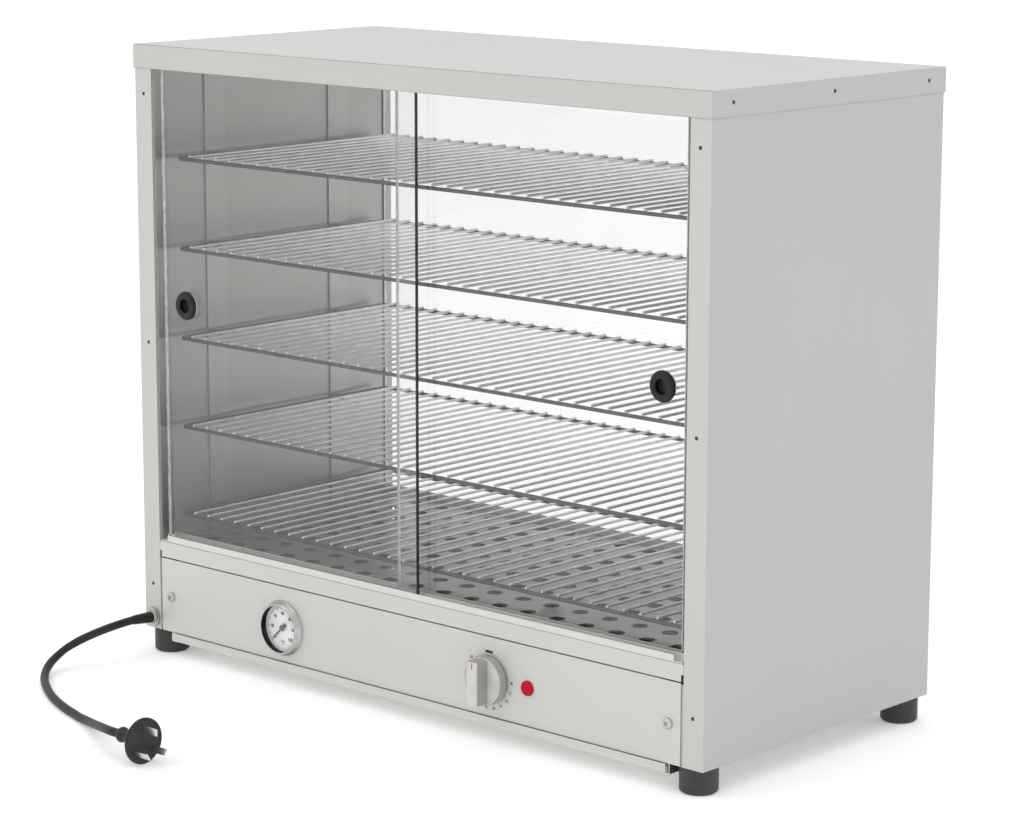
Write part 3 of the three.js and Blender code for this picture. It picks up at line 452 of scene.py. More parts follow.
# Painted shade: the knob's flanks wear this darker copy of its grey, as if turned away from the light
FLANK_SHADE_GREY = Moulded("knob_flank_grey", linear(158, 158, 153), 0.4, 0.08)
DIAL_WHITE = Moulded("dial_white", linear(243, 243, 240), 0.55, 0.04, 2400.0)
CERAMIC = Moulded("ceramic_body", linear(222, 217, 205), 0.6, 0.2, 500.0)
LAMP_RED = Moulded("lamp_red", linear(188, 0, 2), 0.45, 0.03, 700.0, 0.2)
INK = Moulded("black_ink", linear(46, 46, 46), 0.6, 0.02, 3000.0)
NEEDLE_GREY = Moulded("needle_grey", linear(112, 112, 110), 0.5, 0.02, 3000.0)
RED_INK = Moulded("red_ink", linear(196, 30, 60), 0.5, 0.02, 3000.0)
SHEATH = Scale("element_sheath", linear(88, 84, 80), linear(122, 96, 74))


def clear_selection() -> None:
    """Leaves edit mode and deselects every object."""
    if bpy.context.object and bpy.context.object.mode != "OBJECT":
        bpy.ops.object.mode_set(mode="OBJECT")
    bpy.ops.object.select_all(action="DESELECT")


def activate(piece: Piece) -> None:
    """Makes one object the only selected and active one."""
    clear_selection()
    piece.select_set(True)
    bpy.context.view_layer.objects.active = piece


def added(name: str) -> Piece:
    """The object that was just added, named, with its place, turn and scale put into its mesh."""
    piece = bpy.context.object
    piece.name = name
    activate(piece)
    bpy.ops.object.transform_apply(location=True, rotation=True, scale=True)
    return piece


def edit_all(piece: Piece) -> None:
    """Enters edit mode with the whole piece selected."""
    activate(piece)
    bpy.ops.object.mode_set(mode="EDIT")
    bpy.ops.mesh.select_all(action="SELECT")


def merge_doubles(gap: float) -> None:
    """Merges doubles of the piece in edit mode.

    Args:
        gap: the merging distance in millimetres.
    """
    bpy.ops.mesh.select_all(action="SELECT")
    bpy.ops.mesh.remove_doubles(threshold=gap * MM)


def face_outwards() -> None:
    """Turns the faces of the piece in edit mode outwards, and leaves edit mode."""
    bpy.ops.mesh.select_all(action="SELECT")
    bpy.ops.mesh.normals_make_consistent(inside=False)
    bpy.ops.object.mode_set(mode="OBJECT")


def apply_modifiers(piece: Piece) -> None:
    """Applies every modifier of a piece in order."""
    activate(piece)
    for modifier in list(piece.modifiers):
        bpy.ops.object.modifier_apply(modifier=modifier.name)


def smooth(piece: Piece, degrees: float = 32.0) -> None:
    """Shades a piece smooth, with creases kept above an angle."""
    activate(piece)
    bpy.ops.object.shade_smooth_by_angle(angle=math.radians(degrees))


def round_edges(piece: Piece, width: float, segments: int = 2, degrees: float = 35.0) -> None:
    """Bevels a piece's sharp edges.

    Args:
        piece: the object.
        width: bevel width in millimetres.
        segments: rows of faces in the bevel.
        degrees: edges sharper than this are bevelled.
    """
    bevel = piece.modifiers.new("edges", "BEVEL")
    bevel.width = width * MM
    bevel.segments = segments
    bevel.limit_method = "ANGLE"
    bevel.angle_limit = math.radians(degrees)
    bevel.use_clamp_overlap = True
    apply_modifiers(piece)


def repeat(piece: Piece, count: int, step: Triple) -> None:
    """Repeats a piece in a row within its own mesh.

    Args:
        piece: the object.
        count: how many stand in the row.
        step: from one to the next, in millimetres.
    """
    row = piece.modifiers.new("row", "ARRAY")
    row.count = count
    row.use_relative_offset = False
    row.use_constant_offset = True
    row.constant_offset_displace = Vector(step) * MM
    apply_modifiers(piece)


def cut_away(piece: Piece, tool: Piece) -> None:
    """Cuts a tool's shape out of a piece and removes the tool.

    Args:
        piece: the object that is cut.
        tool: the object that is taken away from it.
    """
    cut = piece.modifiers.new("cut", "BOOLEAN")
    cut.operation = "DIFFERENCE"
    cut.solver = "EXACT"
    cut.object = tool
    apply_modifiers(piece)
    bpy.data.objects.remove(tool)


def join(name: str, pieces: Sequence[Piece]) -> Piece:
    """Joins objects into one.

    Args:
        name: the result's name.
        pieces: the objects, two or more.

    Returns:
        The joined object.
    """
    clear_selection()
    for piece in pieces:
        piece.select_set(True)
    bpy.context.view_layer.objects.active = pieces[0]
    bpy.ops.object.join()
    whole = bpy.context.object
    whole.name = name
    whole.data.name = name
    return whole


def copy_of(piece: Piece, name: str, shift: Sequence[float] = (0.0, 0.0, 0.0)) -> Piece:
    """A copy of a piece with its own mesh, moved.

    Args:
        piece: the object to copy.
        name: the copy's name.
        shift: how far the copy moves, in metres.

    Returns:
        The copy.
    """
    copy = piece.copy()
    copy.data = piece.data.copy()
    copy.name = name
    copy.parent = None
    bpy.context.scene.collection.objects.link(copy)
    copy.data.transform(Matrix.Translation(Vector(shift)))
    return copy


def wear(piece: Piece, *finishes: Finish) -> None:
    """Gives a piece its finishes, the first one all over."""
    piece.data.materials.clear()
    for finish in finishes:
        piece.data.materials.append(finish.material())


def wear_by_face(
    piece: Piece, finishes: Sequence[Finish], pick: Callable[[bpy.types.MeshPolygon], int]
) -> None:
    """Gives each face of a piece one of several finishes.

    Args:
        piece: the object.
        finishes: the finishes in order.
        pick: gives a face's place in that order.
    """
    wear(piece, *finishes)
    for face in piece.data.polygons:
        face.material_index = pick(face)


def mount(
    piece: Piece, finish: Finish | None, node: str = "", body: str = "cabinet"
) -> Piece:
    """Finishes a piece and hands it to its body.

    Args:
        piece: the object.
        finish: its finish, or None where its faces have theirs.
        node: the node that it replaces, which gives its body and slot.
        body: the body that it rides on, where no node gives it.

    Returns:
        The same object.
    """
    if finish:
        wear(piece, finish)
    body = BODY_OF.get(node, body)
    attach(piece, body)
    if node:
        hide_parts(node)
    LOG.info("piece %s on %s", piece.name, body)
    return piece


def turned(
    name: str, profile: Profile, centre: Vector, axis: Axis | Vector = Axis.UP, steps: int = 48,
    edge: float = 0.0,
) -> Piece:
    """A turned piece, spun from its profile.

    Args:
        name: the object's name.
        profile: (radius, height along the axis) pairs in millimetres.
        centre: the point where height is 0.
        axis: the direction of the height.
        steps: facets round the axis.
        edge: bevel width for sharp edges in millimetres, 0 for none.

    Returns:
        The closed piece, at the origin with its place in its mesh.
    """
    points = [Vector((radius, 0.0, height)) * MM for radius, height in profile]
    clear_selection()
    bpy.ops.mesh.primitive_plane_add(size=MM, location=points[0])
    piece = added(name)
    edit_all(piece)
    bpy.ops.mesh.merge(type="CENTER")
    for before, after in zip(points, points[1:]):
        bpy.ops.mesh.extrude_region_move(TRANSFORM_OT_translate={"value": after - before})
    bpy.ops.mesh.select_all(action="SELECT")
    bpy.ops.mesh.spin(steps=steps, angle=2 * math.pi, center=(0, 0, 0), axis=(0, 0, 1), use_auto_merge=True)
    merge_doubles(0.002)
    face_outwards()
    if edge:
        round_edges(piece, edge)
    smooth(piece)
    direction = Vector(axis.value) if isinstance(axis, Axis) else axis
    rotation = Vector((0, 0, 1)).rotation_difference(direction).to_matrix().to_4x4()
    piece.data.transform(Matrix.Translation(centre) @ rotation)
    return piece


@dataclass(frozen=True)
class Run:
    """A straight stretch of a bent rod."""

    length: float


@dataclass(frozen=True)
class Bend:
    """A bend of a rod: its angle in degrees, its radius, and the axis that it turns about."""

    degrees: float
    radius: float
    axis: Triple


def bent_rod(
    name: str, start: Vector, heading: Vector, stretches: Sequence[Run | Bend], radius: float,
    sides: int = 10, bend_steps: int = 6, closed: bool = False,
) -> Piece:
    """A round rod, drawn from a circle by extruding and spinning it.

    Args:
        name: the object's name.
        start: centre of the first end.
        heading: the direction that the rod sets off in.
        stretches: its straight runs and bends in order.
        radius: the rod's radius.
        sides: facets round it.
        bend_steps: facets along each bend.
        closed: True where the end meets the start.

    Returns:
        The rod.
    """
    clear_selection()
    here, ahead = start.copy(), heading.normalized()
    facing = ahead.to_track_quat("Z", "Y").to_euler()
    bpy.ops.mesh.primitive_circle_add(vertices=sides, radius=radius, location=here, rotation=facing)
    rod = added(name)
    edit_all(rod)
    for stretch in stretches:
        if isinstance(stretch, Run):
            step = ahead * stretch.length
            bpy.ops.mesh.extrude_region_move(TRANSFORM_OT_translate={"value": step})
            here = here + step
            continue
        axis = Vector(stretch.axis).normalized()
        angle = math.radians(stretch.degrees)
        centre = here + axis.cross(ahead) * stretch.radius
        bpy.ops.mesh.spin(steps=bend_steps, angle=-angle, center=centre, axis=axis)
        swing = Matrix.Rotation(angle, 3, axis)
        here = centre + swing @ (here - centre)
        ahead = swing @ ahead
    merge_doubles(0.02)
    if not closed:
        bpy.ops.mesh.fill_holes(sides=0)
    face_outwards()
    smooth(rod, 50.0)
    return rod


def boxed(name: str, low: Vector, high: Vector, edge: float = 0.0) -> Piece:
    """A bar between two corners, with its edges rounded.

    Args:
        name: the object's name.
        low: the lowest corner.
        high: the highest corner.
        edge: bevel width in millimetres, 0 for none.

    Returns:
        The bar.
    """
    clear_selection()
    bpy.ops.mesh.primitive_cube_add(size=1.0, location=(low + high) / 2)
    bpy.context.object.scale = high - low
    bar = added(name)
    if edge:
        round_edges(bar, edge)
        smooth(bar)
    return bar


def softened(node: str, edge: float, segments: int = 2) -> Piece:
    """A copy of a node with its flat faces joined and its folds rounded.

    Args:
        node: the node's name.
        edge: bevel width in millimetres.
        segments: rows of faces in the bevel.

    Returns:
        The copy.
    """
    skin = copy_of(frame["nodes"][node], f"{node}_skin")
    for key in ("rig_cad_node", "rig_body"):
        if key in skin:
            del skin[key]
    edit_all(skin)
    merge_doubles(0.001)
    bpy.ops.mesh.dissolve_limited(angle_limit=math.radians(0.5))
    bpy.ops.object.mode_set(mode="OBJECT")
    round_edges(skin, edge, segments, 40.0)
    smooth(skin)
    for face in skin.data.polygons:
        face.use_smooth = face.use_smooth and face.area <= LARGE_FACE
    return skin


@dataclass
class View:
    """The camera that matches the photograph's view."""

    image_width: float = 1024.0
    focal_pixels: float = 3170.8
    sensor: float = 36.0
    place: Triple = (2.0719, -2.26665, 0.879)
    yaw: float = 42.477
    pitch: float = 11.020
    roll: float = 0.120

    def make(self) -> None:
        """Adds the camera and makes it the scene's."""
        data = bpy.data.cameras.new("photo_view")
        data.sensor_width = self.sensor
        data.lens = self.focal_pixels * self.sensor / self.image_width
        data.clip_end = 100.0
        camera = bpy.data.objects.new("photo_view", data)
        bpy.context.scene.collection.objects.link(camera)
        aim = Matrix.Rotation(math.radians(self.yaw), 4, "Z")
        aim @= Matrix.Rotation(math.radians(90 - self.pitch), 4, "X")
        aim @= Matrix.Rotation(math.radians(self.roll), 4, "Z")
        camera.matrix_world = Matrix.Translation(self.place) @ aim
        bpy.context.scene.camera = camera


@dataclass(frozen=True)
class Lamp:
    """A soft square lamp: its name, its place and side in metres, and its power in watts."""

    name: str
    place: Triple
    size: float
    power: float


@dataclass
class Studio:
    """A plain pale floor with soft light all round."""

    floor_size: float = 60.0
    floor_colour: Triple = (0.93, 0.93, 0.93)
    floor_glow: float = 0.24
    white: tuple[float, ...] = (1.0, 1.0, 1.0, 1.0)
    sky: float = 0.92
    aim: Triple = (0.0, 0.0, 0.3)
    lamps: tuple[Lamp, ...] = (
        Lamp("key_light", (-1.6, -2.6, 3.2), 2.6, 20.0),
        Lamp("fill_light", (3.2, 0.4, 2.4), 2.2, 5.0),
        Lamp("top_light", (0.0, 0.4, 3.6), 3.0, 14.0),
    )

    def make(self) -> None:
        """Adds the floor, the sky and the lamps."""
        scene = bpy.context.scene
        scene.view_settings.view_transform = "Standard"
        clear_selection()
        bpy.ops.mesh.primitive_plane_add(size=self.floor_size, location=(0, 0, 0))
        floor = bpy.context.object
        floor.name = "studio_floor"
        paper = Graph("studio_paper")
        paper.set(Base_Color=(*self.floor_colour, 1.0), Roughness=0.9, Specular_IOR_Level=0.1)
        paper.set(Emission_Color=self.white, Emission_Strength=self.floor_glow)
        floor.data.materials.append(paper.material)
        world = bpy.data.worlds.new("studio_sky")
        world.use_nodes = True
        Graph.fill(world.node_tree.nodes["Background"], {"Color": self.white, "Strength": self.sky})
        scene.world = world
        for lamp in self.lamps:
            data = bpy.data.lights.new(lamp.name, "AREA")
            data.shape = "SQUARE"
            data.size = lamp.size
            data.energy = lamp.power
            light = bpy.data.objects.new(lamp.name, data)
            scene.collection.objects.link(light)
            light.location = lamp.place
            light.rotation_euler = (Vector(self.aim) - light.location).to_track_quat("-Z", "Y").to_euler()


def middle(node: str, depth: float) -> Vector:
    """The middle of a node in X and Z, at a depth along Y, in metres."""
    low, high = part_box(node)
    return Vector(((low.x + high.x) / 2, depth, (low.z + high.z) / 2))


@dataclass
class PowerCord:
    """The free cord with its strain relief, gland, plug and pins."""

    radius: float = 4.25
    exit_point: Triple = (-361.5, -176.0, 37.0)
    route: tuple[Triple, ...] = (
        (-361.8, -199.4, 38.2), (-361.3, -221.0, 37.4), (-362.6, -237.6, 35.4), (-367.6, -252.1, 31.2),
        (-373.8, -265.9, 25.4), (-378.0, -280.2, 18.3), (-376.4, -295.0, 11.6), (-368.4, -309.0, 7.2),
        (-354.2, -323.6, 4.8), (-333.1, -339.7, 4.25), (-295.8, -362.1, 4.25), (-258.6, -378.3, 4.25),
        (-225.5, -388.9, 4.3), (-197.7, -398.5, 6.6), (-166.8, -413.9, 12.4), (-137.1, -429.6, 18.9),
    )
    plug_face: Triple = (-70.5, -437.7, 21.9)
    plug_length: float = 34.0
    straight: float = 12.0
    seat: float = 0.3
    settled: float = 0.1
    outer_knot: int = 6
    outer_share: float = 0.9
    relief_clearance: float = 0.1
    relief_start: float = -2.6
    relief_end: float = 23.2
    relief_profile: Profile = (
        (4.9, -2.6), (4.9, 0.3), (5.6, 0.7), (5.7, 2.4), (5.5, 8.0), (5.1, 16.0), (4.8, 22.0), (4.6, 23.0),
    )
    gland_profile: Profile = (
        (0, -10.7), (8.6, -10.7), (8.6, -6.3), (6.1, -6.2), (6.1, -4.5), (9.7, -4.4), (10, -4.1), (10, -2.5),
        (9.6, -2.1), (7.4, -2.1), (6.9, -1.7), (6.6, -0.4), (6.3, 0), (5.4, 0), (5.1, -0.3), (5.1, -2.8),
        (0, -2.8),
    )
    plug_profile: Profile = (
        (0, -34.0), (5.4, -34.0), (6.2, -33.4), (7.2, -31.8), (7.5, -30.4), (7.2, -28.6), (6.2, -26.2),
        (5.7, -23.6), (5.6, -21.0), (6.6, -18.2), (9.2, -14.6), (13.0, -10.8), (17.2, -7.0), (20.2, -4.2),
        (21.4, -3.0), (21.8, -2.4), (21.8, -0.7), (21.4, -0.2), (20.6, 0), (19.4, 0), (19, -0.4), (0, -0.4),
    )

    @staticmethod
    def spot(point: Triple) -> Vector:
        """A point of the body in metres, in the frame."""
        return Vector((point[0], point[1] + BODY_MIDDLE, point[2])) * MM

    def centreline(self) -> list[Vector]:
        """The cord's points from the gland to the plug."""
        x, y, z = self.plug_face
        rear = x - self.plug_length
        ends = ((rear - self.straight, y, z), (rear - self.seat, y, z))
        return [self.spot(point) for point in (self.exit_point, *self.route, *ends)]

    def make(self) -> None:
        """Builds the cord, its relief and its plug."""
        points = self.centreline()
        cord = self.sheath(points)
        relief = self.relief(points)
        face = middle("cord_gland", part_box("cord_gland")[0].y)
        gland = turned("gland_ring", self.gland_profile, face, Axis.FRONT)
        mount(gland, NICKEL, "cord_gland")
        plug = turned("plug_moulding", self.plug_profile, self.spot(self.plug_face), Axis.RIGHT, 64)
        mount(plug, PLUG_BLACK, "plug_body")
        bpy.context.view_layer.update()
        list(self.pins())

    def sheath(self, points: Sequence[Vector]) -> Piece:
        """The sheathed cord, as one smooth curve.

        Args:
            points: the centreline.

        Returns:
            The cord.
        """
        data = bpy.data.curves.new("power_cord_sheath", "CURVE")
        data.dimensions = "3D"
        data.resolution_u = 6
        data.bevel_depth = self.radius * MM
        data.bevel_resolution = 5
        data.use_fill_caps = True
        spline = data.splines.new("BEZIER")
        last = len(points) - 1
        spline.bezier_points.add(last)
        for i, (knot, point) in enumerate(zip(spline.bezier_points, points)):
            before, after = points[max(i - 1, 0)], points[min(i + 1, last)]
            heading = after - before
            if point.z < (self.radius + self.settled) * MM:
                heading.z = 0.0
            if i == self.outer_knot:
                heading.x = 0.0
                knot.radius = self.outer_share
            heading.normalize()
            knot.co = point
            knot.handle_left_type = knot.handle_right_type = "FREE"
            knot.handle_left = point - heading * (point - before).length / 3
            knot.handle_right = point + heading * (after - point).length / 3
        cord = bpy.data.objects.new("power_cord_sheath", data)
        bpy.context.scene.collection.objects.link(cord)
        return mount(cord, CORD_BLACK, "power_cord")

    def relief(self, points: Sequence[Vector]) -> Piece:
        """The tapered sleeve where the cord leaves the gland.

        Args:
            points: the cord's centreline.

        Returns:
            The sleeve.
        """
        bore = self.radius + self.relief_clearance
        start = (bore, self.relief_start)
        profile = [start, *self.relief_profile, (bore, self.relief_end), start]
        sleeve = turned("cord_relief", profile, points[0], points[1] - points[0], 32)
        return mount(sleeve, CORD_BLACK)

    @staticmethod
    def pins() -> list[Piece]:
        """The three flat pins with their eased tips."""
        nodes = [f"plug_pin_{name}" for name in ("earth", "live", "neutral")]
        return [mount(softened(node, 0.45, 3), BRASS, node) for node in nodes]


@dataclass
class Casing:
    """The outer sheets, the liners and the other folded parts.

    The tables give the bevel of each sheet's folds in millimetres, and its finish. A folded
    sheet has one finish to the front and rear, another for the rest, and the lid a third to the sides.
    These are copies of one steel in tones set by facing: painted light and shade.
    """

    sheets: dict[str, tuple[float, Finish]] = field(default_factory=lambda: {
        "inner_ceiling": (0.3, INNER_STEEL),
        "control_panel": (0.3, FRONT_STEEL),
        "front_sill": (0.4, FRONT_STEEL),
        "rear_panel": (0.4, FRONT_STEEL),
        "front_bottom_track": (0.3, TRACK_STEEL),
        "front_top_track": (0.3, FRONT_STEEL),
        "rear_bottom_channel": (0.3, TRACK_STEEL),
        "rear_top_channel": (0.3, FRONT_STEEL),
        "crumb_tray": (0.25, FRONT_STEEL),
        **{f"tray_runner_{side.word}": (0.3, PART_STEEL) for side in Side},
        **{f"rack_upright_{end}_{side.word}": (0.35, UPRIGHT_STEEL) for end in ENDS for side in Side},
    })
    # The tones by facing on these folded sheets are painted light and shade
    folded: dict[str, tuple[float, tuple[Finish, ...]]] = field(default_factory=lambda: {
        "lid": (0.4, (FASCIA_STEEL, LID_STEEL, SIDE_STEEL_SHADED)),
        **{f"side_panel_{side.word}": (0.35, (COLUMN_STEEL, SIDE_STEEL_SHADED)) for side in Side},
        **{f"side_liner_{side.word}": (0.3, (FOLD_STEEL_LIT, INNER_STEEL)) for side in Side},
    })
    plain: dict[Finish, tuple[str, ...]] = field(default_factory=lambda: {
        PART_STEEL: ("base_pan", "control_box_wall", "element_bracket_left", "element_bracket_right"),
        SHEATH: ("heating_element",),
        CERAMIC: ("terminal_block", "thermostat_body"),
        BRASS: ("thermostat_bulb",),
        CHROME: ("thermostat_spindle",),
        BLACK: ("gauge_case", "lamp_body"),
    })
    facing: float = 0.6
    column_rivets: tuple[float, ...] = (580.5, 326.5, 72.5)
    lid_rivets: Triple = (-143.0, 1.5, 146.0)
    rivet_column: float = 361.2
    rivet_lid_height: float = 618.5
    rivet_radius: float = 1.9
    rivet_height: float = 0.6

    def make(self) -> None:
        """Builds every sheet and its rivets."""
        for node, (edge, finish) in self.sheets.items():
            mount(softened(node, edge), finish, node)
        for node, (edge, finishes) in self.folded.items():
            skin = softened(node, edge)
            self.wear_by_facing(skin, finishes)
            if node == "lid":
                self.set_in(skin)
            mount(skin, None, node)
        for finish, nodes in self.plain.items():
            for node in nodes:
                wear(frame["nodes"][node], finish)
                LOG.info("node %s in %s", node, finish.name)
        for side in Side:
            self.rivets(side)

    def wear_by_facing(self, skin: Piece, finishes: Sequence[Finish]) -> None:
        """Gives a folded sheet its finishes by the way that each face looks, painting light and shade by
        facing.

        Args:
            skin: the folded sheet.
            finishes: for the faces to the front or rear, for the rest, and for the sides where those differ.
        """
        aside = len(finishes) - 1

        def pick(face: bpy.types.MeshPolygon) -> int:
            if abs(face.normal.y) > self.facing:
                return 0
            return aside if abs(face.normal.x) > self.facing else 1

        wear_by_face(skin, finishes, pick)

    def set_in(self, skin: Piece) -> None:
        """Draws the lid's sides in by a rivet's height, so that the heads end flush with its box.

        Args:
            skin: the lid.
        """
        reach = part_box("lid")[1].x
        for vertex in skin.data.vertices:
            if reach - abs(vertex.co.x) < self.rivet_height * MM / 2:
                vertex.co.x -= math.copysign(self.rivet_height * MM, vertex.co.x)

    def rivets(self, side: Side) -> None:
        """The blind rivets of one side's columns and lid.

        Args:
            side: left or right.
        """
        radius, height = self.rivet_radius, self.rivet_height
        profile = [(0, -height), (radius, -height), (radius, 0.15 * height), (0.8 * radius, 0.7 * height),
                   (0.45 * radius, height), (0.3 * radius, 0.5 * height), (0, 0.45 * height)]
        faces = ((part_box("control_panel")[0].y, Axis.FRONT), (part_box("rear_panel")[1].y, Axis.BACK))
        x = side.value * self.rivet_column * MM
        spots = [(Vector((x, y, level * MM)), axis) for level in self.column_rivets for y, axis in faces]
        x = side.value * (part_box("lid")[1].x - height * MM)
        outward = Axis.RIGHT if side is Side.RIGHT else Axis.LEFT
        for y in self.lid_rivets:
            spots.append((Vector((x, (y + BODY_MIDDLE) * MM, self.rivet_lid_height * MM)), outward))
        made = [turned("rivet", profile, centre, axis, 20) for centre, axis in spots]
        mount(join(f"rivets_{side.word}", made), RIVET)


@dataclass
class Glazing:
    """The sliding doors with their finger pulls, and the fixed rear pane."""

    ground: float = 0.5
    face_share: float = 0.9
    end_share: float = 0.5
    pull_profile: Profile = (
        (0, -4), (11, -4), (11, 0.3), (14.5, 0.3), (14.5, 1.5), (14.1, 2.3), (12.9, 3.7), (12.3, 4), (9.6, 4),
        (9, 3.5), (8.4, 3.5), (7.8, 3.9), (7.2, 3.6), (6.9, 3), (6.7, -1.6), (6.2, -2), (0, -2),
    )

    def make(self) -> None:
        """Builds the panes and the pulls."""
        for node in ("door_left", "door_right", "rear_glass"):
            self.pane(node)
        for side in Side:
            self.pull(side)

    def pane(self, node: str) -> None:
        """One pane with a ground rim, with painted shade on the rim where it ends in the middle of the
        opening.

        Args:
            node: the CAD node that it stands for.
        """
        pane = softened(node, self.ground, 1)

        def pick(face: bpy.types.MeshPolygon) -> int:
            # Painted shade: the left door's edge that ends in the opening wears the dark edge finish
            rim = 2 if node == "door_left" and face.normal.x > self.end_share else 1
            return 0 if abs(face.normal.y) > self.face_share else rim

        wear_by_face(pane, (GLASS, PALE_EDGE, SHADED_EDGE), pick)
        mount(pane, None, node)

    def pull(self, side: Side) -> None:
        """A black finger cup through the glass.

        Args:
            side: the side of its door.
        """
        node = f"door_pull_{side.word}"
        centre = middle(node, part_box(f"door_{side.word}")[0].y)
        cup = turned(f"finger_cup_{side.word}", self.pull_profile, centre, Axis.FRONT, 56, 0.15)
        mount(cup, PULL_BLACK, node)


@dataclass
class WireRacks:
    """The racks: a rod frame with straight wires welded across its top."""

    count: int = 5
    rod_radius: float = 1.9
    corner: float = 9.0
    wire_radius: float = 1.5
    wires: int = 33
    pitch: float = 20.0
    bite: float = 0.4

    def make(self) -> None:
        """Builds the top rack and copies it down."""
        low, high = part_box("rack_1")
        level = (low.z + high.z) / 2
        first = self.rack(low, high, level)
        for i in range(1, self.count + 1):
            node = f"rack_{i}"
            shift = middle(node, 0.0).z - level
            rack = first if i == 1 else copy_of(first, f"wire_rack_{i}", (0, 0, shift))
            mount(rack, None, node)

    def rack(self, low: Vector, high: Vector, level: float) -> Piece:
        """One rack.

        Args:
            low: lowest corner of the rack's box.
            high: highest corner of the rack's box.
            level: height of the rods' centres.

        Returns:
            The rack.
        """
        rod, corner = self.rod_radius * MM, self.corner * MM
        x, y = high.x - rod, high.y - rod
        centre = (low.y + high.y) / 2
        depth = y - centre
        quarter = Bend(90.0, corner, (0, 0, 1))
        across, back = Run(2 * (x - corner)), Run(2 * (depth - corner))
        ring = bent_rod(
            "rack_frame", Vector((-x + corner, centre - depth, level)), Vector((1, 0, 0)),
            [across, quarter, back, quarter] * 2, rod, 12, closed=True)
        # Painted dark reflection: the frame's rods wear a dark copy of the wires' plating
        wear(ring, ROD_DARK_REFLECTION)
        wire = self.wire(centre, depth, level)
        wear(wire, WIRE)
        repeat(wire, self.wires, (self.pitch, 0, 0))
        return join("wire_rack_1", [ring, wire])

    def wire(self, centre: float, depth: float, level: float) -> Piece:
        """The leftmost wire, lying across the rods and ending on them.

        Args:
            centre: the rack's middle line along Y.
            depth: distance from it to the front and rear rods.
            level: height of the rods' centres.

        Returns:
            The wire.
        """
        radius = self.wire_radius * MM
        top = level + (self.rod_radius - self.bite) * MM + radius
        x = -(self.wires - 1) / 2 * self.pitch * MM
        start = Vector((x, centre - depth, top))
        wire = bent_rod("rack_wire", start, Vector((0, 1, 0)), [Run(2 * depth)], radius)
        round_edges(wire, 0.3, 1, 60.0)
        smooth(wire, 50.0)
        return wire


@dataclass
class FloorPlate:
    """The perforated floor with its round punched holes."""

    columns: int = 18
    rows: int = 9
    pitch_across: float = 36.6
    pitch_back: float = 33.0
    hole_radius: float = 7.8
    sides: int = 28
    punch_length: float = 10.0

    def make(self) -> None:
        """Punches the plate."""
        low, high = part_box("floor_plate")
        plate = boxed("floor_sheet", low, high)
        half = Vector(((self.columns - 1) * self.pitch_across, (self.rows - 1) * self.pitch_back, 0)) * MM / 2
        clear_selection()
        bpy.ops.mesh.primitive_cylinder_add(
            vertices=self.sides, radius=self.hole_radius * MM, depth=self.punch_length * MM,
            location=(low + high) / 2 - half)
        punch = added("punch")
        repeat(punch, self.columns, (self.pitch_across, 0, 0))
        repeat(punch, self.rows, (0, self.pitch_back, 0))
        cut_away(plate, punch)
        round_edges(plate, 0.2, 1, 60.0)
        smooth(plate)
        mount(plate, FLOOR_STEEL, "floor_plate")


